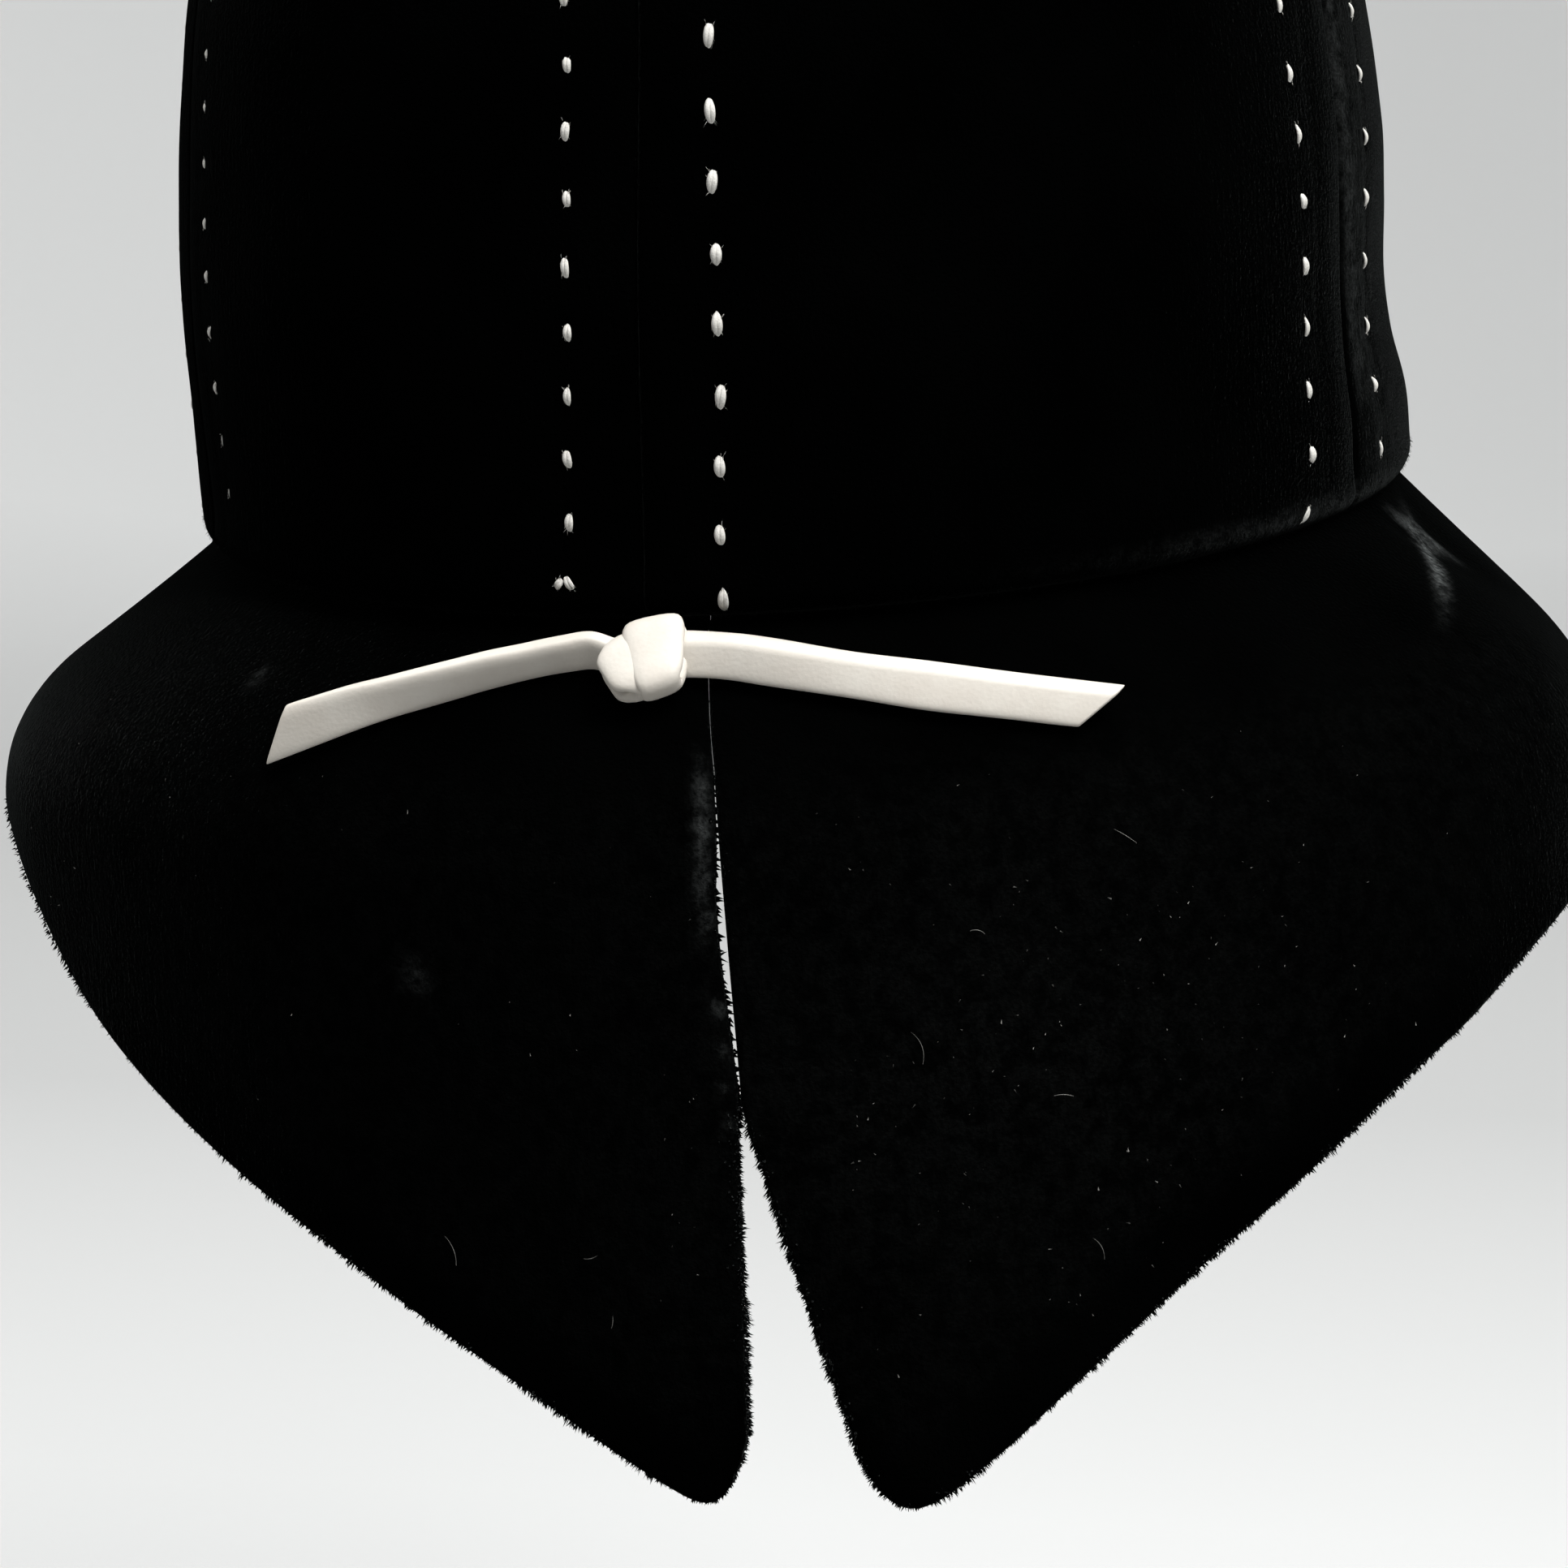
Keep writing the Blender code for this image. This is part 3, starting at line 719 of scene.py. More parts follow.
def velour_material(felt, name="black_velour", sheen=1.0):
    """Black long-napped felt: near-black pile, paler at pale spots and painted sheen, with a soft sheen.

    A point attribute says where the pile is paler, from pale spots and from painted sheen, and fine noise
    breaks it up. The nap is bumped by fine grains and by hairs that lie down the hat.
    """
    nodes = Nodes(name)
    grain = nodes.noise(0.5 * MM, 3.0, 0.6)
    comb = nodes.noise(0.7 * MM, 2.0, 0.6, (1, 1, 0.16))
    clump = nodes.noise(2.4 * MM, 3.0, 0.65)
    cloud = nodes.noise(22 * MM, 3.0, 0.55)
    worn = nodes.attribute("worn")
    patchy = 0.15 + 0.9 * grain.above(0.38, 0.62) * clump.above(0.3, 0.6) + 0.55 * clump.above(0.4, 0.6)
    broken = (worn * patchy).math("MINIMUM", 1.0)
    pile = nodes.blend(cloud.above(0.35, 0.7), shade(felt.colour, 0.7), shade(felt.colour, 1.5))
    # Pale spots and painted sheen from the point attribute lighten the pile here.
    colour = nodes.blend(broken, pile, shade(felt.pale_spot_and_sheen_colour))
    height = 0.6 * grain + 0.4 * comb
    return nodes.finish(
        Base_Color=colour,
        Roughness=0.92 + 0.08 * grain,
        Normal=nodes.bump(height, felt.nap_depth),
        **pile_shine(felt, sheen),
    )


def shaded_velour_material(felt):
    """A shaded copy of the same felt with a quarter of its sheen, as painted shade."""
    return velour_material(felt, "flat_velour", 0.25)


def hair_material(felt):
    """Single hairs of the pile, a little paler than the felt and uneven from one to the next."""
    nodes = Nodes("velour_hairs")
    cloud = nodes.noise(1.5 * MM, 1.0)
    return nodes.finish(
        Base_Color=nodes.blend(cloud, shade(felt.colour, 0.8), shade(felt.colour, 3.0)),
        Roughness=0.9,
        **pile_shine(felt),
    )


def thread_material(thread):
    """White sewing thread, slightly grey in its twists."""
    nodes = Nodes("white_thread")
    fine = nodes.noise(0.18 * MM, 3.0, 0.6)
    return nodes.finish(
        Base_Color=nodes.blend(fine.above(0.3, 0.65), shade(thread.colour, 0.72), shade(thread.colour)),
        Roughness=0.85,
        Specular_IOR_Level=0.25,
        Normal=nodes.bump(fine, 0.08 * MM),
    )


def lint_material(thread):
    """Pale dust and fibres on the pile."""
    nodes = Nodes("pale_lint")
    cloud = nodes.noise(6 * MM, 1.0)
    return nodes.finish(
        Base_Color=nodes.blend(cloud, shade(thread.colour, 0.05), shade(thread.colour, 0.36)),
        Roughness=1.0,
        Specular_IOR_Level=0.0,
    )


def leather_material(tie):
    """Warm white leather with a fine grain, a little creamier in its hollows."""
    nodes = Nodes("ivory_leather")
    pore_size = 0.55 * MM
    sockets = {"Vector": nodes.place(), "Scale": 1 / pore_size}
    pores = nodes.add("ShaderNodeTexVoronoi", {"feature": "F1"}, sockets)
    cloud = nodes.noise(5 * MM, 3.0, 0.6)
    grain = nodes.noise(0.9 * MM, 3.0, 0.6, (1, 1, 1.6))
    return nodes.finish(
        Base_Color=nodes.blend(cloud.above(0.3, 0.75), shade(tie.colour), shade(tie.hollow_colour)),
        Roughness=0.42 + 0.16 * grain,
        Specular_IOR_Level=0.45,
        Coat_Weight=0.05,
        Normal=nodes.bump(0.35 * pores + 0.65 * grain, 0.06 * MM, 0.6),
    )


def pale_material(name, stage):
    """Matt paint of the stage, faintly uneven, greyer on its floor and behind the camera as painted shade."""
    nodes = Nodes(name)
    cloud = nodes.noise(900 * MM, 2.0)
    paint = nodes.blend(cloud, shade(stage.backdrop_colour, 0.93), shade(stage.backdrop_colour))
    ahead = nodes.add("ShaderNodeSeparateXYZ", {}, {"Vector": nodes.place()}, "Y")
    # The floor near the hat is paler than the floor beyond it, as a painted pool of light.
    near = shade(stage.backdrop_colour, stage.near_floor_light_pool)
    floor = nodes.blend(ahead.above(0.4, 0.75), near, shade(stage.backdrop_colour, stage.far_floor_painted_shade))
    paint = nodes.blend(ahead.above(1.3, 1.9), floor, paint)
    # Behind the camera the paint is darker, as painted shade.
    behind = shade(stage.backdrop_colour, stage.behind_camera_painted_shade)
    return nodes.finish(
        Base_Color=nodes.blend(ahead.above(-1.2, 0.2), behind, paint),
        Roughness=0.95,
        Specular_IOR_Level=0.0,
    )


def material_once(name, make, settings):
    """The material of that name, made the first time it is asked for."""
    return bpy.data.materials.get(name) or make(settings)


def length_setting(name, description, default, low, high):
    """A length, with its usual value and limits in millimetres."""
    return FloatProperty(name=name, description=description, default=default * MM, min=low * MM,
                         max=high * MM, unit="LENGTH", precision=5)


def share_setting(name, description, default):
    """A share between 0 and 1."""
    return FloatProperty(name=name, description=description, default=default, min=0.0, max=1.0,
                         subtype="FACTOR")


def colour_setting(name, description, default):
    """A colour."""
    return FloatVectorProperty(name=name, description=description, default=default, min=0.0, max=1.0,
                               subtype="COLOR")


def turn_setting(name, description, default):
    """An angle, with its usual value in degrees."""
    return FloatProperty(name=name, description=description, default=math.radians(default), unit="ROTATION")


def power_setting(name, description, default):
    """A light's power in watts."""
    return FloatProperty(name=name, description=description, default=default, min=0.0, subtype="POWER")


def count_setting(name, description, default):
    """A whole number from 0 up."""
    return IntProperty(name=name, description=description, default=default, min=0)


class FeltSettings(bpy.types.PropertyGroup):
    """Sizes and colours of the felt."""

    thickness: length_setting("Thickness", "Thickness of the felt", 2.5, 1, 4)
    seam_gap: length_setting("Seam gap", "Gap left between two gores along a seam", 0.06, 0, 1)
    pinch: length_setting("Seam pinch", "How far the felt sinks towards a seam", 0.6, 0, 2)
    stitch_pull: length_setting("Stitch pull", "How far a row of stitches pulls the felt in", 0.28, 0, 1)
    wave: length_setting("Wave", "Height of the soft unevenness of the felt", 0.25, 0, 2)
    nap_depth: length_setting("Nap depth", "Depth that the nap's bump stands for", 0.5, 0, 2)
    colour: colour_setting("Pile", "Colour of the pile", (0.0004, 0.00045, 0.00043))
    # This colour serves the brim's pale spots and the painted sheen on crown and brim.
    pale_spot_and_sheen_colour: colour_setting("Pale pile and sheen", "Colour of pale spots and painted sheen", (0.08, 0.0856, 0.0844))
    sheen_colour: colour_setting("Sheen colour", "Tint of the pile's sheen", (0.86, 0.94, 0.92))
    sheen: share_setting("Sheen", "Strength of the pile's sheen", 0.04)
    sheen_roughness: share_setting("Sheen roughness", "Spread of the pile's sheen", 0.18)
    gloss: share_setting("Gloss", "Specular level of the pile", 0.0)


class HairSettings(bpy.types.PropertyGroup):
    """The hairs that stand out of the felt's edges."""

    length: length_setting("Length", "Usual length of a hair", 0.9, 0.1, 3)
    width: length_setting("Width", "Width of a hair at its root", 0.21, 0.02, 0.5)
    per_mm: FloatProperty(name="Hairs per mm", description="Hairs on a millimetre of cut edge", default=13,
                          min=1, max=30)
    hem_per_mm: FloatProperty(name="Hem hairs per mm", description="Hairs on a millimetre of the hem",
                              default=5, min=0, max=20)
    seed: count_setting("Seed", "Seed of the hairs' places", 11)


class ThreadSettings(bpy.types.PropertyGroup):
    """The running stitches and their thread."""

    length: length_setting("Length", "Length of a stitch", 3.1, 1, 8)
    width: length_setting("Width", "Width of a stitch", 1.3, 0.3, 3)
    rise: length_setting("Rise", "How far a stitch stands out of the felt", 0.38, 0, 2)
    colour: colour_setting("Thread", "Colour of the thread", (0.82, 0.8, 0.75))
    seed: count_setting("Seed", "Seed of the stitches' unevenness", 5)


class TieSettings(bpy.types.PropertyGroup):
    """The leather strip and its knot."""

    thickness: length_setting("Thickness", "Thickness of the strip", 2.0, 0.5, 4)
    roll: length_setting("Roll", "How far the strip's upper edge rolls back", 1.2, 0, 3)
    clearance: length_setting("Clearance", "Gap between the strip and the felt", 0.3, 0, 2)
    colour: colour_setting("Leather", "Colour of the leather", (0.74, 0.7, 0.63))
    hollow_colour: colour_setting("Hollows", "Colour of the leather's hollows", (0.68, 0.63, 0.56))


class LintSettings(bpy.types.PropertyGroup):
    """Dust and fibres on the pile."""

    specks: count_setting("Specks", "Specks of dust on the brim", 420)
    speck_size: length_setting("Speck size", "Length of a speck of dust", 0.3, 0.05, 1)
    seed: count_setting("Seed", "Seed of the dust's places", 3)


class StageSettings(bpy.types.PropertyGroup):
    """Floor, backdrop, light and camera."""

    floor_drop: length_setting("Floor drop", "Height of the hat's lowest point over the floor", 300, 10, 2000)
    backdrop_radius: length_setting("Backdrop radius", "Distance to the backdrop's wall", 3000, 1000, 20000)
    backdrop_height: length_setting("Backdrop height", "Height of the backdrop's wall", 2600, 500, 10000)
    backdrop_colour: colour_setting("Backdrop", "Colour of the floor and backdrop", (0.66, 0.665, 0.66))
    # These shares paint the stage's light and shade: painted shade behind the camera and on the far floor,
    # and a paler painted pool of light near the hat.
    behind_camera_painted_shade: share_setting("Backdrop shade", "Share of the colour behind the camera", 0.45)
    near_floor_light_pool: share_setting("Near shade", "Share of the colour on the floor near the hat", 0.84)
    far_floor_painted_shade: share_setting("Floor shade", "Share of the colour on the floor beyond it", 0.66)
    world_strength: FloatProperty(name="Sky light", description="Strength of the even light from above",
                                  default=0.35, min=0.0, max=10.0)
    overhead_power: power_setting("Overhead light", "Power of the light above", 26)
    key_power: power_setting("Key light", "Power of the light above the wearer's right", 26)
    backdrop_power: power_setting("Backdrop light", "Power of the light on the backdrop", 24)
    camera_distance: length_setting("Camera distance", "Level distance from the crown's middle",
                                    450, 100, 5000)
    camera_height: length_setting("Camera height", "Height above the crown's lower edge", 77.778, -1000, 5000)
    camera_turn: turn_setting("Camera turn", "Turn of the camera round the hat's back", 12.218)
    camera_side: turn_setting("Camera aside", "Turn of the view away from the middle", 0.701)
    camera_pitch: turn_setting("Camera pitch", "How far the view points down", 15.528)
    camera_roll: turn_setting("Camera roll", "Roll about the line of view", -3.274)
    lens: FloatProperty(name="Lens", description="Focal length on a 36 mm sensor", default=68.94, min=10.0,
                        max=300.0, unit="CAMERA")


def stitches_of(row, seed):
    """The stitches of one row, evenly pitched up the seam with small seeded slips."""
    draw = np.random.default_rng(seed)
    heights = np.arange(row.first, LAST_STITCH, row.pitch)
    heights = heights + draw.uniform(-0.3, 0.3, len(heights))
    seam = SEAMS[row.seam]
    slip = draw.uniform(-0.15, 0.15, len(heights))
    tilts = draw.uniform(-8, 8, len(heights))
    lengths = draw.uniform(0.88, 1.1, len(heights))
    made = []
    for height, aside, tilt, length in zip(heights, slip, tilts, lengths):
        share = min(1.0, height * MM / LEAN_HEIGHT)
        narrow = stitch_narrowing(height)
        offset = row.low_offset + (row.high_offset - row.low_offset) * share
        offset = offset + row.sway * math.sin(math.pi * share)
        buried = BURIED_SIZE if height < row.fade else 1.0
        bearing = seam_bearing(seam, height * MM) + offset * narrow + aside
        made.append(Stitch(row.seam, bearing, height, length * row.size, tilt, row.size * buried))
    made.extend(stitch for stitch in END_STITCHES if stitch.seam == row.seam and row.low_offset < 0)
    return made


def stitch_narrowing(height):
    """1 over the wall's scale, which keeps a row's distance from its seam where the crown draws in."""
    scale = wall_rows(run_at_height(height * MM))[1]
    return 1 / max(0.35, float(scale))


def all_stitches(seed):
    """Every stitch of the hat, with lengths in shares of the usual one."""
    made = []
    for number, row in enumerate(STITCH_ROWS):
        made.extend(stitches_of(row, seed + number))
    return made


def gore_columns(width, fine, coarse, margin):
    """Shares of a width: fine steps within a margin of both ends, and coarse ones between them."""
    near = np.concatenate([[0.0, 0.12, 0.36, 0.75, 1.25], np.arange(2.0, margin / MM, fine / MM)]) * MM
    middle = np.linspace(near[-1], width - near[-1], max(2, int((width - 2 * near[-1]) / coarse)) + 1)[1:-1]
    return np.concatenate([near, middle, width - near[::-1]]) / width


def gore_grid(seam, following, turn, felt):
    """Bearings, runs and seam distances over one gore, from the tip down to the lip of the hem."""
    rows = np.concatenate([
        np.linspace(wall_length(), 0, 140)[:-1],
        np.linspace(0, -HEM_RADIUS * math.pi / 2, 9),
        -HEM_RADIUS * math.pi / 2 - LIP_DEPTH * np.array([0.5, 0.85, 1.0]),
    ])
    width = np.radians(following.bearing + turn - seam.bearing) * (HALF_WIDTH + HALF_LENGTH) / 2
    shares = gore_columns(width, fine=0.75 * MM, coarse=1.6 * MM, margin=13 * MM)
    height = np.where(rows < 0, hem_rows(rows)[1], wall_rows(rows)[0])
    radius = np.maximum(wall_rows(rows)[1] * HALF_WIDTH, 0.1 * MM)
    trim = np.degrees(np.minimum(felt.seam_gap / 2 / radius, 0.3))[:, None]
    first = seam_bearing(seam, height)[:, None] + trim
    last = seam_bearing(following, height)[:, None] + turn - trim
    bearing = first + (last - first) * shares
    run = np.broadcast_to(rows[:, None], bearing.shape)
    distance = np.radians(np.minimum(bearing - first, last - bearing)) * radius[:, None]
    return bearing, run, distance


def pulled_by_stitches(bearing, height, stitches):
    """How far stitches pull the felt in, from 0 to about 1: a bell as long as each stitch over its place."""
    pull = np.zeros(bearing.shape)
    for stitch in stitches:
        aside = np.radians(bearing_away(bearing, stitch.bearing)) * HALF_WIDTH
        near = hill(aside, 1.3 * MM) * hill(height - stitch.height * MM, 2.0 * MM)
        pull = np.maximum(pull, near)
    return pull


def make_gore(seam, following, turn, settings):
    """One gore of felt between two seams, pinched at them and pulled in at its stitches."""
    felt = settings.felt
    bearing, run, distance = gore_grid(seam, following, turn, felt)
    outer = crown_points(bearing, run)
    normal = grid_normals(outer)
    height = outer[..., 2]
    low, high = seam.bearing - 15, following.bearing + turn + 15
    near = [s for s in all_stitches(settings.thread.seed) if 0 <= (s.bearing - low) % FULL_TURN <= high - low]
    fade = smooth(height, 0.0, 8 * MM) * smooth(wall_length() - run, 0.0, 20 * MM)
    row_line = hill(distance - ROW_DISTANCE, ROW_WIDTH)
    sink = felt.pinch * hill(distance, PINCH_REACH)
    sink = sink + felt.stitch_pull * (0.5 * row_line + pulled_by_stitches(bearing, height, near))
    sink = sink - felt.wave * 0.5 * ripples(outer, 26 * MM, 21)
    outer = outer - normal * (sink * fade)[..., None]
    points, faces = felt_sheet(outer, felt.thickness)
    # Painted sheen and a painted highlight on the crown, kept in a point attribute of the felt.
    worn = crown_painted_sheen(bearing, run, distance)
    # The gores on the wearer's left get the shaded copy of the velour, as painted shade.
    if seam.gore_after in SHADED_GORES:
        material = material_once("flat_velour", shaded_velour_material, felt)
    else:
        material = material_once("black_velour", velour_material, felt)
    mesh_piece(f"{seam.gore_after}_felt", points, faces, material, "velour", (seam.gore_after,),
               worn=on_both_faces(worn))


def crown_painted_sheen(bearing, run, distance):
    """Painted sheen on the crown: the gore beyond the right seam, most of all along the seam, and the hem."""
    # Painted sheen over the gore beyond the right seam, strongest right beside the seam.
    beyond = smooth(bearing_away(bearing, 71.0), 0.0, 1.6) * (1 - smooth(bearing_away(bearing, 96.0), -8, 20))
    beside = hill(bearing_away(bearing, 73.2), 1.7) * smooth(run, 8 * MM, 20 * MM)
    # A painted highlight along the hem's round fold on the wearer's right.
    rim = hill(run + HEM_RADIUS * 0.45, 1.5 * MM) * hill(bearing_away(bearing, 64), 20)
    return np.clip(0.028 * beyond + 0.1 * beyond * beside + 0.18 * rim, 0, 1)


def slit_line(depth, side):
    """The bearing of one side of the slit at depths."""
    return np.interp(depth, column(SLIT, "depth"), column(SLIT, side))


def brim_grid():
    """Bearings and depths over the brim, from the collar's top to the cut edge, round from slit to slit."""
    near = np.array([0.0, 0.07, 0.2, 0.38, 0.6])
    fine = np.arange(1.0, 64.0, 0.5)
    start = RIGHT_TIP.bearing
    end = LEFT_TIP.bearing
    front = np.linspace(start + 64, end - 64, 150)
    edge = np.concatenate([start + near, start + fine, front, end - fine[::-1], end - near[::-1]])
    rim = np.array([5.6, 4.2, 3.0, 2.1, 1.4, 0.8, 0.35, 0.1, 0.0]) / 90
    share = np.concatenate([np.linspace(0, 0.93, 74), 1 - rim])
    skirt = np.outer(share[1:], edge_depth(edge))
    band = [-14.4, -14.2, -13.8, -13.1, -12, -9, -6, -4, -3.2]
    fold = [-2.7, -2.45, -2.2, -1.95, -1.7, -1.2, -0.6, 0]
    collar = np.array(band + fold)
    depth = np.concatenate([np.repeat(collar[:, None], len(edge), 1), skirt])
    right_share = np.clip(1 - (edge - start) / SLIT_REACH, 0, 1)
    left_share = np.clip(1 - (end - edge) / SLIT_REACH, 0, 1)
    below = np.maximum(depth, 0)
    right = (slit_line(below, "right") - SLIT[-1].right) * right_share
    left = (slit_line(below, "left") - SLIT[-1].left) * left_share
    return edge + right + left, depth, np.broadcast_to(edge_depth(edge), depth.shape)


def brim_spots_and_sheen(bearing, depth, cut):
    """Pale strip on the left lobe by the slit, pale spots, and painted sheen in streaks and a broad bloom."""
    turned = bearing_away(bearing, 0)
    beside = np.radians(slit_line(np.maximum(depth, 0), "left") - turned) * (HALF_LENGTH + 15 * MM)
    strip = hill(beside - 1.5 * MM, 0.9 * MM) * (turned < 7.2)
    paleness = 0.16 * strip * smooth(depth, 18, 26) * (1 - smooth(depth, 34, 46))
    for smudge in SMUDGES:
        aside = np.radians(bearing_away(bearing, smudge.bearing)) * (HALF_LENGTH + 20 * MM)
        paleness = paleness + smudge.strength * hill(np.hypot(aside, (depth - smudge.depth) * MM), smudge.radius * MM)
    # Streaks of painted sheen beside the creases.
    for sheen_streak in SHEEN_STREAKS:
        line = sheen_streak.bearing + sheen_streak.slant * (depth - sheen_streak.depth)
        along = hill(depth - sheen_streak.depth, sheen_streak.length)
        paleness = paleness + sheen_streak.strength * hill(turned - line, sheen_streak.spread) * along
    # A broad bloom of painted sheen, strongest on the right lobe and faded near the cut edge.
    sheen_bloom = 0.013 * hill(turned - 22, 18) * hill(depth - 60, 26) + 0.007 * smooth(depth, 18, 34)
    inside = smooth(cut - depth, 4, 12)
    return np.clip(paleness + sheen_bloom * inside, 0, 1)


def make_brim(settings):
    """The collar and bell of the brim in one sheet of felt with soft cut edges, open at the slit."""
    felt = settings.felt
    bearing, depth, cut = brim_grid()
    outer = brim_points(bearing, depth)
    normal = grid_normals(outer)
    free = smooth(depth, 20, 45)
    outer = outer + normal * (felt.wave * free * ripples(outer, 30 * MM, 8))[..., None]
    points, faces = felt_sheet(outer, felt.thickness)
    material = material_once("black_velour", velour_material, felt)
    # The brim's point attribute holds pale spots and painted sheen.
    mesh_piece("brim_felt", points, faces, material, "velour", ("brim",),
               worn=on_both_faces(brim_spots_and_sheen(bearing, depth, cut)))


def spread_along(line, per_mm, draw):
    """Places along a line of points, one in each equal part: its segment, its share of that and its run."""
    length = np.linalg.norm(np.diff(line, axis=0), axis=1)
    along = np.concatenate([[0.0], np.cumsum(length)])
    count = int(along[-1] / MM * per_mm)
    at = (np.arange(count) + draw.uniform(0, 1, count)) * along[-1] / count
    place = np.clip(np.searchsorted(along, at, side="right") - 1, 0, len(length) - 1)
    return place, (at - along[place]) / length[place], at


def wave_along(at, pitch, draw):
    """Seeded values between 0 and 1 at lengths along an edge, smoothly joined at every pitch."""
    knots = draw.uniform(0, 1, int(at[-1] / pitch) + 3)
    place = np.floor(at / pitch).astype(int)
    share = smooth(at / pitch - place, 0, 1)
    return knots[place] * (1 - share) + knots[place + 1] * share


def edge_hairs(fringe, line, off, out, reach, settings, draw):
    """A fringe of hairs along one cut edge, all round its rounded thickness.

    line is the edge's middle, off points off the felt along the sheet and out is its outer normal. Seeded
    waves along the edge, one fine and one slow, stretch the hairs and bend them to one side, which mats
    them into tufts. reach scales the hairs' length at each point of the line.
    """
    hair, felt = settings.hair, settings.felt
    place, share, at = spread_along(line, hair.per_mm * fringe.density, draw)
    count = len(at)
    fine = wave_along(at, 0.7 * MM, draw)
    slow = wave_along(at, 2.6 * MM, draw)
    mix = share[:, None]
    root = line[place] * (1 - mix) + line[place + 1] * mix
    along = unit(line[place + 1] - line[place])
    away = off[place] * (1 - mix) + off[place + 1] * mix
    away = unit(away - along * (away * along).sum(-1, keepdims=True))
    normal = unit(out[place] * (1 - mix) + out[place + 1] * mix)
    turn = draw.normal(0.05, fringe.fan, count)[:, None]
    half = felt.thickness / 2
    inside = root - away * half
    ray = away * np.cos(turn) + normal * np.sin(turn)
    root = inside + ray * half * 0.93
    bend = fringe.droop + 0.6 * (slow - 0.5)[:, None] + draw.normal(0, 0.25, (count, 1))
    way = unit(ray + along * bend + draw.normal(0, 0.12, (count, 3)))
    length = hair.length * fringe.length * draw.uniform(0.6, 1.0, count) * (0.45 + 0.7 * fine + 0.5 * slow**2)
    length = length * reach[place]
    sag = draw.normal(0, 0.1, (count, 3)) * length[:, None]
    sag[:, 2] -= 0.15 * length
    thick = hair.width * fringe.width * draw.uniform(0.6, 1.3, count)
    points, faces = hairs(root, way, length, thick, sag, taper=fringe.taper)
    material = material_once("velour_hairs", hair_material, felt)
    mesh_piece(fringe.name, points, faces, material, "velour")


def make_edge_hairs(settings):
    """Hairs on the brim's cut edge and on both sides of its slit."""
    hair, felt = settings.hair, settings.felt
    bearing, depth, _ = brim_grid()
    outer = brim_points(bearing, depth)
    normal = grid_normals(outer)
    middle = outer - normal * felt.thickness / 2
    down = unit(np.gradient(middle, axis=0))
    across = unit(np.gradient(middle, axis=1))
    draw = np.random.default_rng(hair.seed)
    edge_hairs(EDGE_FUZZ, middle[-1], down[-1], normal[-1], np.ones(len(middle[-1])), settings, draw)
    below = depth[:, 0] > 12
    open_part = smooth(depth[below, 0], 59, 66)
    slit_part = smooth(depth[below, 0], 20, 26) * (1 - open_part)
    sides = (
        (SLIT_FUZZ_RIGHT, 0, -1, 0.08 + 0.92 * open_part),
        (SLIT_FUZZ_LEFT, -1, 1, 0.08 + 1.1 * open_part),
        (SLIT_TUFTS_LEFT, -1, 1, 0.1 + 0.7 * slit_part + 0.4 * open_part),
    )
    for fringe, column_number, sign, reach in sides:
        edge = middle[below, column_number]
        off = across[below, column_number] * sign
        edge_hairs(fringe, edge, off, normal[below, column_number], reach, settings, draw)


def make_hem_hairs(settings):
    """Short hairs on the round fold of the hem, which blur its lower edge."""
    hair, felt = settings.hair, settings.felt
    draw = np.random.default_rng(hair.seed + 1)
    round_length = math.pi * (HALF_WIDTH + HALF_LENGTH) / MM
    count = int(round_length * hair.hem_per_mm)
    bearing = draw.uniform(0, FULL_TURN, count)
    run = draw.uniform(-HEM_RADIUS * 1.35, 1 * MM, count)
    root, along, down, out = frames_on(lambda b, r: crown_points(b, -r * MM), bearing, -run / MM, 0.05)
    lay = 0.9 * down * draw.uniform(0.2, 1.0, (count, 1))
    way = unit(out + lay + along * draw.normal(0, 0.4, (count, 1)))
    length = hair.length * draw.uniform(0.3, 0.75, count)
    sag = draw.normal(0, 0.1, (count, 3)) * length[:, None]
    width = hair.width * 0.7 * draw.uniform(0.6, 1.1, count)
    points, faces = hairs(root - out * 0.1 * MM, way, length, width, sag, steps=1)
    material = material_once("velour_hairs", hair_material, felt)
    mesh_piece("hem_fuzz", points, faces, material, "velour")


def stitch_tubes(centre, along, aside, out, lengths, widths, rise, twist):
    """Points and faces of two-ply stitches.

    A ply's middle line runs along the stitch for s from -1 to 1 at a height of rise * (1 - 1.5 s^2), so
    that both ends dive into the felt, and winds round that line by the twist. Its section is a six-sided
    ring that narrows to the ends.
    """
    rings, sides = 9, 6
    count = len(centre)
    s = np.linspace(-1, 1, rings)
    blocks = []
    faces = []
    for ply in (0.0, math.pi):
        phase = ply + twist[:, None] + 0.7 * s
        swell = (1.02 - np.abs(s) ** 2.2) ** 0.65
        radius = widths[:, None] * 0.3 * swell
        wind = widths[:, None] * 0.2 * swell
        line = centre[:, None] + along[:, None] * (lengths[:, None] / 2 * s)[..., None]
        line = line + aside[:, None] * (wind * np.cos(phase))[..., None]
        lift = rise[:, None] * (1 - 1.5 * s**2) + 0.55 * wind * np.sin(phase)
        line = line + out[:, None] * lift[..., None]
        turn = np.arange(sides) * 2 * math.pi / sides
        flattened = out[:, None, None] * 0.65
        ring = aside[:, None, None] * np.cos(turn)[:, None] + flattened * np.sin(turn)[:, None]
        points = line[:, :, None] + radius[..., None, None] * ring
        faces.extend(tube_faces(count, rings, sides, len(blocks) * count * rings * sides))
        blocks.append(points.reshape(-1, 3))
    return np.concatenate(blocks), faces


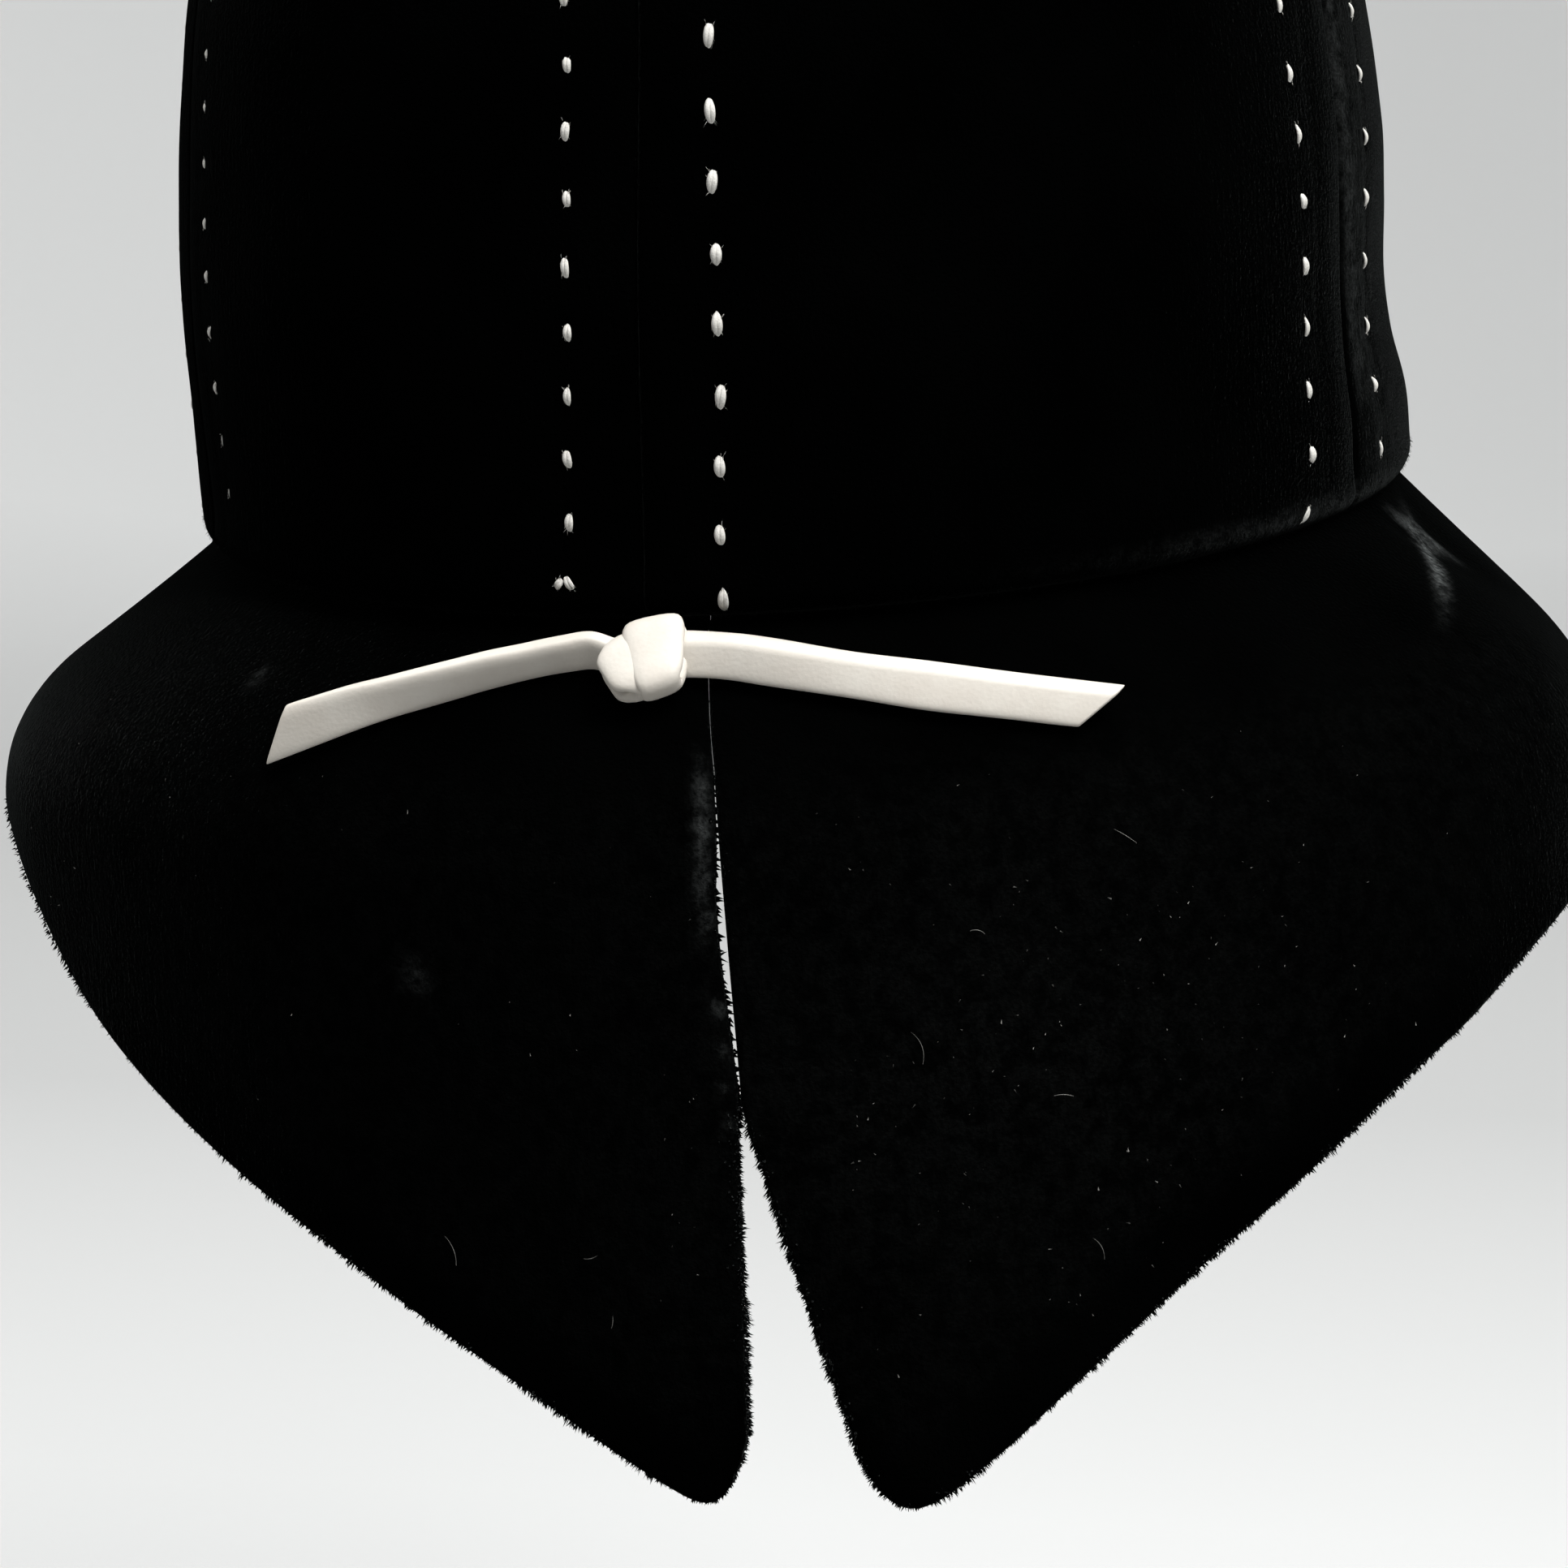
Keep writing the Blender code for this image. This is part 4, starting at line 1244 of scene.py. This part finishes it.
def make_stitches(settings):
    """White two-ply running stitches beside every seam, one piece for each seam, with frayed ends."""
    thread = settings.thread
    material = material_once("white_thread", thread_material, thread)
    for number, seam in enumerate(SEAMS):
        stitches = [stitch for stitch in all_stitches(thread.seed) if stitch.seam == number]
        draw = np.random.default_rng(thread.seed + 100 + number)
        count = len(stitches)
        table = np.array(stitches)
        _, bearing, height, share, tilt, scale = table.T
        run = run_at_height(height * MM)
        run = np.where(height < CROWN[0].height, -(CROWN[0].height - height) * MM, run)
        centre, along, down, out = frames_on(lambda b, r: crown_points(b, -r * MM), bearing, -run / MM, 0.4)
        lean = np.radians(tilt)[:, None]
        line = unit(-down * np.cos(lean) + along * np.sin(lean))
        aside = unit(np.cross(out, line))
        sunk = settings.felt.stitch_pull * 1.2
        length = thread.length * share
        width = thread.width * scale * draw.uniform(0.92, 1.1, count)
        rise = thread.rise * scale
        base = centre - out * sunk
        twist = draw.uniform(-0.4, 0.4, count)
        points, faces = stitch_tubes(base, line, aside, out, length, width, rise, twist)
        frayed, fray_faces = frayed_ends(base, line, aside, out, length, width, draw)
        faces.extend(block + len(points) for block in fray_faces)
        points = np.concatenate([points.reshape(-1, 3), frayed.reshape(-1, 3)])
        name = seam.gore_after.replace("crown_gore_", "seam_stitches_")
        mesh_piece(name, points, faces, material, "thread")


def frayed_ends(base, line, aside, out, length, width, draw):
    """Loose filaments at both ends of each stitch, short hairs that fan out over the felt."""
    each = 10
    pick = np.repeat(np.arange(len(base)), each)
    count = len(pick)
    end = np.where(draw.random(count) < 0.5, -1.0, 1.0)
    along = end * length[pick] * draw.uniform(0.0, 0.45, count)
    side = np.sign(draw.uniform(-1, 1, count)) * draw.uniform(0.15, 0.4, count) * width[pick]
    root = base[pick] + line[pick] * along[:, None] + aside[pick] * side[:, None] + out[pick] * 0.28 * MM
    fan = aside[pick] * np.sign(side)[:, None] * draw.uniform(0, 1, (count, 1))
    way = unit(line[pick] * end[:, None] + fan + out[pick] * draw.uniform(-0.2, 0.3, (count, 1)))
    size = draw.uniform(0.3, 0.9, count) * MM * np.clip(width[pick] / (1.3 * MM), 0.3, 1)
    sag = -out[pick] * (size * 0.25)[:, None]
    return hairs(root, way, size, np.full(count, 0.06 * MM), sag)


def make_lint(settings):
    """Dust and single fibres on the pile, most of them on the right lobe."""
    lint = settings.lint
    draw = np.random.default_rng(lint.seed)
    broad = draw.random(lint.specks) < 0.3
    bearing = np.where(broad, draw.uniform(-55, 60, lint.specks), draw.normal(24, 13, lint.specks))
    depth = np.where(broad, draw.uniform(25, 95, lint.specks), draw.normal(62, 17, lint.specks))
    inside = (depth > 24) & (depth < edge_depth(np.mod(bearing - 13, FULL_TURN) + 13) - 7)
    inside &= np.abs(bearing - 8.5) > 3.5
    bearing, depth = bearing[inside], depth[inside]
    count = len(bearing)
    centre, along, down, out = frames_on(brim_points, bearing, depth, 0.3)
    heading = draw.uniform(0, 2 * math.pi, (count, 1))
    way = unit(along * np.cos(heading) + down * np.sin(heading) + out * 0.1)
    size = lint.speck_size * draw.uniform(0.4, 1.3, count) ** 1.5
    sag = draw.normal(0, 0.2, (count, 3)) * size[:, None]
    root = centre + out * (settings.felt.wave * 0.4) - way * (size / 2)[:, None]
    specks, speck_faces = hairs(root, way, size, size * draw.uniform(0.3, 0.6, count), sag, steps=1)
    fibres, fibre_faces = long_fibres(settings)
    faces = speck_faces + [block + specks.reshape(-1, 3).shape[0] for block in fibre_faces]
    points = np.concatenate([specks.reshape(-1, 3), fibres.reshape(-1, 3)])
    material = material_once("pale_lint", lint_material, settings.thread)
    mesh_piece("lint", points, faces, material, "thread")


def long_fibres(settings):
    """The fibres of the lint table: thin tubes that lie on the pile along a circular arc.

    A fibre's heading turns evenly along it by its curl in radians, and its line is the sum of those steps.
    """
    rings, sides = 9, 3
    table = np.array(LINT)
    bearing, depth, length, heading, curl = table.T
    s = np.linspace(-0.5, 0.5, rings)
    turn = np.radians(heading)[:, None] + curl[:, None] * 2 * s
    step = length[:, None] / (rings - 1)
    aside = np.cumsum(np.cos(turn) * step, 1)
    below = np.cumsum(np.sin(turn) * step, 1)
    radius = (HALF_LENGTH + 18 * MM) / MM
    at_bearing = bearing[:, None] + np.degrees((aside - aside.mean(1, keepdims=True)) / radius)
    at_depth = depth[:, None] + below - below.mean(1, keepdims=True)
    centre, _, _, out = frames_on(brim_points, at_bearing, at_depth, 0.3)
    line = centre + out * (0.18 * MM + settings.felt.wave * 0.4)
    ahead = unit(np.gradient(line, axis=1))
    side = unit(np.cross(out, ahead))
    thick = 0.045 * MM * (1 - 0.7 * np.abs(2 * s))[:, None, None]
    angle = (np.arange(sides) * 2 * math.pi / sides)[:, None]
    ring = side[:, :, None] * np.cos(angle) + out[:, :, None] * np.sin(angle)
    points = line[:, :, None] + thick * ring
    return points, tube_faces(len(table), rings, sides)


def rounded_box(turn, power):
    """Points of the closed curve |x|^n + |y|^n = 1 at turns round it, with the power as n."""
    x, y = np.cos(turn), np.sin(turn)
    return np.sign(x) * np.abs(x) ** (2 / power), np.sign(y) * np.abs(y) ** (2 / power)


def strip_section(sides):
    """A strip's section in shares: across it, out of it, and how far it is rolled back.

    It is a rounded box whose upper part rolls back by a power of its distance past the roll's start.
    """
    wide, high = rounded_box((np.arange(sides) + 0.5) * 2 * math.pi / sides, STRIP_POWER)
    roll = np.clip((wide - ROLL_START) / (1 - ROLL_START), 0, 1) ** ROLL_POWER
    return wide, high, roll


def make_tail(tail, settings):
    """One tail of the tie: the strip's section carried along its line on the brim to a slanted cut end.

    The strip stands on its lower edge. Its face leans out of the brim until it looks below the level by
    the tip of the tie table, and the cut end shears its upper edge towards the wearer's right.
    """
    tie = settings.tie
    sides, rings = 40, 130
    knots = np.arange(len(TIE))
    last = 0.014
    gone = np.concatenate([np.linspace(0, 1 - last, rings - 8)[:-1], 1 - last * np.linspace(1, 0, 9) ** 2])
    at = tail.start + (tail.end - tail.start) * gone
    bearing, depth, width, tip = (flowing(knots, column(TIE, name), at) for name in TieRow._fields)
    centre, _, _, out = frames_on(brim_points, bearing, depth, 0.5)
    lean = np.arcsin(out[:, 2]) + np.radians(tip)
    stand = tie.clearance + np.cos(lean) * tie.thickness / 2 + np.sin(lean) * width * MM / 2
    centre = centre + out * stand[:, None]
    outward_sign = 1.0 if tail.end > tail.start else -1.0
    ahead = unit(np.gradient(centre, axis=0)) * outward_sign
    across = unit(np.cross(out, ahead))
    turned = np.cos(lean)[:, None], np.sin(lean)[:, None]
    across, out = across * turned[0] + out * turned[1], out * turned[0] - across * turned[1]
    left = np.concatenate([np.cumsum(np.linalg.norm(np.diff(centre, axis=0), axis=1)[::-1])[::-1], [0.0]])
    shear = tail.slant * (1 - smooth(left, 0, 7 * MM))
    end = np.sqrt(1 - (1 - np.clip((left + 0.02 * MM) / (0.6 * MM), 0, 1)) ** 2)
    wide, high, roll = strip_section(sides)
    uneven = 1 + 0.02 * np.sin(left / (9 * MM)) + 0.015 * np.sin(left / (3.1 * MM) + 1)
    wide = wide[None] * (width * MM / 2 * uneven * (0.97 + 0.03 * end))[:, None]
    thick = tie.thickness / 2 * end * (1 + 0.04 * np.sin(left / (5 * MM)))
    high = high[None] * thick[:, None] - roll * tail.roll * tie.roll
    ring = centre[:, None] + across[:, None] * wide[..., None] + out[:, None] * high[..., None]
    ring = ring + ahead[:, None] * (wide * shear[:, None])[..., None]
    points = ring.reshape(-1, 3)
    step = np.arange(sides // 2 - 1)
    cap = np.stack([step, step + 1, sides - 2 - step, sides - 1 - step], -1)
    faces = np.concatenate([loft_faces(rings, sides), cap[:, ::-1], cap + (rings - 1) * sides])
    if outward_sign > 0:
        faces = faces[:, ::-1]
    material = material_once("ivory_leather", leather_material, tie)
    mesh_piece(tail.name, points, [faces], material, "tie_leather", ("leather_tie",))


def make_wrap(wrap, settings):
    """One wrap of the knot: a rounded section carried round a closed loop about the tails.

    The loop is a rounded box in the plane out of the brim, and the band leans by its tilt. Its corners are
    rounded by narrowing it where it folds over.
    """
    tie = settings.tie
    sides, rings = 20, 72
    spot = np.array([wrap.bearing]), np.array([wrap.depth])
    here, along, down, out = (vectors[0] for vectors in frames_on(brim_points, *spot, 0.5))
    centre = here + out * wrap.out * MM
    lean = math.radians(KNOT_LEAN)
    down, out = down * math.cos(lean) - out * math.sin(lean), out * math.cos(lean) + down * math.sin(lean)
    tilt = math.radians(wrap.tilt)
    up = -down * math.cos(tilt) - along * math.sin(tilt)
    side = along * math.cos(tilt) - down * math.sin(tilt)
    turn = np.arange(rings) * 2 * math.pi / rings
    stand, rise = rounded_box(turn, wrap.power)
    stand = stand * (wrap.bulge * MM - tie.thickness / 2)
    rise = rise * (wrap.reach * MM - tie.thickness / 2)
    line = centre + up * rise[:, None] + out * stand[:, None]
    ahead = unit(np.roll(line, -1, 0) - np.roll(line, 1, 0))
    away = unit(np.cross(ahead, side))
    wide, high = rounded_box((np.arange(sides) + 0.5) * 2 * math.pi / sides, WRAP_POWER)
    wide = wide * wrap.width * MM / 2
    high = high * tie.thickness / 2
    taper = 1 + wrap.taper * rise / (wrap.reach * MM)
    corner = 1 - wrap.corner * np.abs(np.sin(turn)) ** (5 * (2 / wrap.power))
    spread = wide[None] * (taper * corner)[:, None]
    skewed = side + up * (wrap.slope * (1 - rise / (wrap.reach * MM)) / 2)[:, None]
    ring = line[:, None] + skewed[:, None] * spread[..., None] + away[:, None] * high[None, :, None]
    index = np.pad(np.arange(rings * sides).reshape(rings, sides), (0, 1), "wrap")
    material = material_once("ivory_leather", leather_material, tie)
    mesh_piece(wrap.name, ring.reshape(-1, 3), [grid_faces(index)], material, "tie_leather", ("leather_tie",))


def stage_floor(stage):
    """Floor and backdrop in one: a level disc that curves up into a round wall.

    The profile runs along the floor, through a quarter circle and up the wall, and is turned about the
    upright axis.
    """
    floor = CAD_BOX[0].z - stage.floor_drop
    bend = stage.backdrop_radius * 0.4
    turn = np.linspace(0, math.pi / 2, 24)
    curve = stage.backdrop_radius - bend + bend * np.sin(turn)
    radius = np.concatenate([[0.0], curve, [stage.backdrop_radius]])
    height = np.concatenate([[0.0], bend * (1 - np.cos(turn)), [stage.backdrop_height]]) + floor
    spin = np.arange(96) * 2 * math.pi / 96
    ring = np.stack([np.sin(spin), -np.cos(spin)], -1)
    grid = np.concatenate([
        radius[1:, None, None] * ring,
        np.broadcast_to(height[1:, None, None], (len(radius) - 1, len(spin), 1)),
    ], -1)
    points = np.concatenate([grid.reshape(-1, 3), [[0.0, 0.0, floor]]])
    quads = loft_faces(len(radius) - 1, len(spin))
    centre = np.full(len(spin), len(points) - 1)
    fan = np.stack([np.roll(np.arange(len(spin)), -1), centre, np.arange(len(spin))], -1)
    return points, [quads, fan]


def make_backdrop(stage):
    """The pale floor and backdrop."""
    points, faces = stage_floor(stage)
    mesh = bpy.data.meshes.new("backdrop")
    mesh.from_pydata(points.tolist(), [], [face for block in faces for face in block.tolist()])
    mesh.shade_smooth()
    mesh.materials.append(pale_material("pale_backdrop", stage))
    backdrop = bpy.data.objects.new("backdrop", mesh)
    bpy.context.scene.collection.objects.link(backdrop)


def facing(place, target):
    """A matrix at a place whose -Z looks at a target."""
    back = unit(np.asarray(place, float) - np.asarray(target, float))
    right = unit(np.cross([0.0, 1.0, 0.0] if abs(back[2]) > 0.99 else [0.0, 0.0, 1.0], back))
    up = np.cross(back, right)
    turned = Matrix((right, up, back)).transposed().to_4x4()
    return Matrix.Translation(place) @ turned


def add_softbox(name, place, target, size, power):
    """A square area light that looks at a target."""
    light = bpy.data.lights.new(name, "AREA")
    light.shape = "SQUARE"
    light.size = size
    light.energy = power
    lamp = bpy.data.objects.new(name, light)
    lamp.matrix_world = facing(place, target)
    bpy.context.scene.collection.objects.link(lamp)


def add_world(stage):
    """Even pale light from everywhere over the backdrop."""
    world = bpy.data.worlds.new("pale_sky")
    world.use_nodes = True
    sky = world.node_tree.nodes["Background"]
    sky.inputs["Color"].default_value = (0.97, 0.98, 1.0, 1.0)
    sky.inputs["Strength"].default_value = stage.world_strength
    bpy.context.scene.world = world


def add_camera(stage):
    """The camera behind the hat and a little above, turned, tipped and rolled as set."""
    heading = stage.camera_turn + stage.camera_side
    pitch = stage.camera_pitch
    flat = math.cos(pitch)
    forward = np.array([-math.sin(heading) * flat, math.cos(heading) * flat, -math.sin(pitch)])
    level = np.array([math.cos(heading), math.sin(heading), 0.0])
    up = np.cross(level, forward)
    roll = stage.camera_roll
    right = level * math.cos(roll) + up * math.sin(roll)
    top = up * math.cos(roll) - level * math.sin(roll)
    place = (stage.camera_distance * math.sin(stage.camera_turn),
             -stage.camera_distance * math.cos(stage.camera_turn), stage.camera_height)
    data = bpy.data.cameras.new("camera")
    data.sensor_width = 36
    data.lens = stage.lens
    data.clip_start = 0.01
    camera = bpy.data.objects.new("camera", data)
    camera.matrix_world = Matrix.Translation(place) @ Matrix((right, top, -forward)).transposed().to_4x4()
    bpy.context.scene.collection.objects.link(camera)
    bpy.context.scene.camera = camera


class CLOCHE_OT_crown(bpy.types.Operator):
    """Build the six felt gores of the crown"""

    bl_idname = "cloche.crown"
    bl_label = "Crown gores"

    def execute(self, context):
        for number, seam in enumerate(SEAMS):
            following = SEAMS[(number + 1) % len(SEAMS)]
            make_gore(seam, following, FULL_TURN if following is SEAMS[0] else 0, context.scene.cloche)
        return {"FINISHED"}


class CLOCHE_OT_brim(bpy.types.Operator):
    """Build the bell brim with its collar and slit"""

    bl_idname = "cloche.brim"
    bl_label = "Brim"

    def execute(self, context):
        make_brim(context.scene.cloche)
        return {"FINISHED"}


class CLOCHE_OT_fuzz(bpy.types.Operator):
    """Build the hairs on the cut edges and the hem"""

    bl_idname = "cloche.fuzz"
    bl_label = "Edge fuzz"

    def execute(self, context):
        make_edge_hairs(context.scene.cloche)
        make_hem_hairs(context.scene.cloche)
        return {"FINISHED"}


class CLOCHE_OT_stitches(bpy.types.Operator):
    """Build the running stitches beside the seams"""

    bl_idname = "cloche.stitches"
    bl_label = "Seam stitches"

    def execute(self, context):
        make_stitches(context.scene.cloche)
        return {"FINISHED"}


class CLOCHE_OT_tie(bpy.types.Operator):
    """Build the leather tie: two tails and the wraps of its knot"""

    bl_idname = "cloche.tie"
    bl_label = "Leather tie"

    def execute(self, context):
        settings = context.scene.cloche
        for tail in TAILS:
            make_tail(tail, settings)
        for wrap in WRAPS:
            make_wrap(wrap, settings)
        return {"FINISHED"}


class CLOCHE_OT_lint(bpy.types.Operator):
    """Scatter dust and fibres on the pile"""

    bl_idname = "cloche.lint"
    bl_label = "Lint"

    def execute(self, context):
        make_lint(context.scene.cloche)
        return {"FINISHED"}


class CLOCHE_OT_stage(bpy.types.Operator):
    """Set up the pale backdrop, the soft lights and the camera"""

    bl_idname = "cloche.stage"
    bl_label = "Stage"

    def execute(self, context):
        stage = context.scene.cloche.stage
        make_backdrop(stage)
        add_world(stage)
        add_softbox("overhead_softbox", (0.1, 0.1, 1.5), (0, 0, 0), 1.2, stage.overhead_power)
        add_softbox("key_softbox", (0.8, -0.5, 1.2), (0, 0, 0), 0.8, stage.key_power)
        add_softbox("backdrop_softbox", (-0.9, 0.6, 1.5), (-1.0, 2.6, -0.1), 1.5, stage.backdrop_power)
        add_camera(stage)
        context.scene.view_settings.view_transform = "Standard"
        return {"FINISHED"}


OPERATORS = (CLOCHE_OT_crown, CLOCHE_OT_brim, CLOCHE_OT_fuzz, CLOCHE_OT_stitches, CLOCHE_OT_tie,
             CLOCHE_OT_lint, CLOCHE_OT_stage)


class ClocheSettings(bpy.types.PropertyGroup):
    """All settings of the hat."""

    felt: PointerProperty(type=FeltSettings, name="Felt", description="The felt of crown and brim")
    hair: PointerProperty(type=HairSettings, name="Hairs", description="The fuzz on the edges")
    thread: PointerProperty(type=ThreadSettings, name="Thread", description="The running stitches")
    tie: PointerProperty(type=TieSettings, name="Tie", description="The leather tie")
    lint: PointerProperty(type=LintSettings, name="Lint", description="Dust and fibres")
    stage: PointerProperty(type=StageSettings, name="Stage", description="Floor, light and camera")


class CLOCHE_PT_panel(bpy.types.Panel):
    """The hat's pieces and sizes in the sidebar"""

    bl_label = "Cloche hat"
    bl_idname = "CLOCHE_PT_panel"
    bl_space_type = "VIEW_3D"
    bl_region_type = "UI"
    bl_category = "Cloche"

    def draw(self, context):
        settings = context.scene.cloche
        for operator in OPERATORS:
            self.layout.operator(operator.bl_idname)
        for name in settings.bl_rna.properties.keys():
            group = getattr(settings, name, None)
            if isinstance(group, bpy.types.PropertyGroup):
                box = self.layout.box()
                box.label(text=settings.bl_rna.properties[name].name)
                for key in group.__annotations__:
                    box.prop(group, key)


CLASSES = (FeltSettings, HairSettings, ThreadSettings, TieSettings, LintSettings, StageSettings,
           ClocheSettings, *OPERATORS, CLOCHE_PT_panel)


def register():
    for cls in CLASSES:
        bpy.utils.register_class(cls)
    bpy.types.Scene.cloche = PointerProperty(type=ClocheSettings)


def unregister():
    del bpy.types.Scene.cloche
    for cls in reversed(CLASSES):
        bpy.utils.unregister_class(cls)


def main():
    register()
    bpy.ops.cloche.crown()
    bpy.ops.cloche.brim()
    bpy.ops.cloche.fuzz()
    bpy.ops.cloche.stitches()
    bpy.ops.cloche.tie()
    bpy.ops.cloche.lint()
    bpy.ops.cloche.stage()


if __name__ == "__main__":
    main()
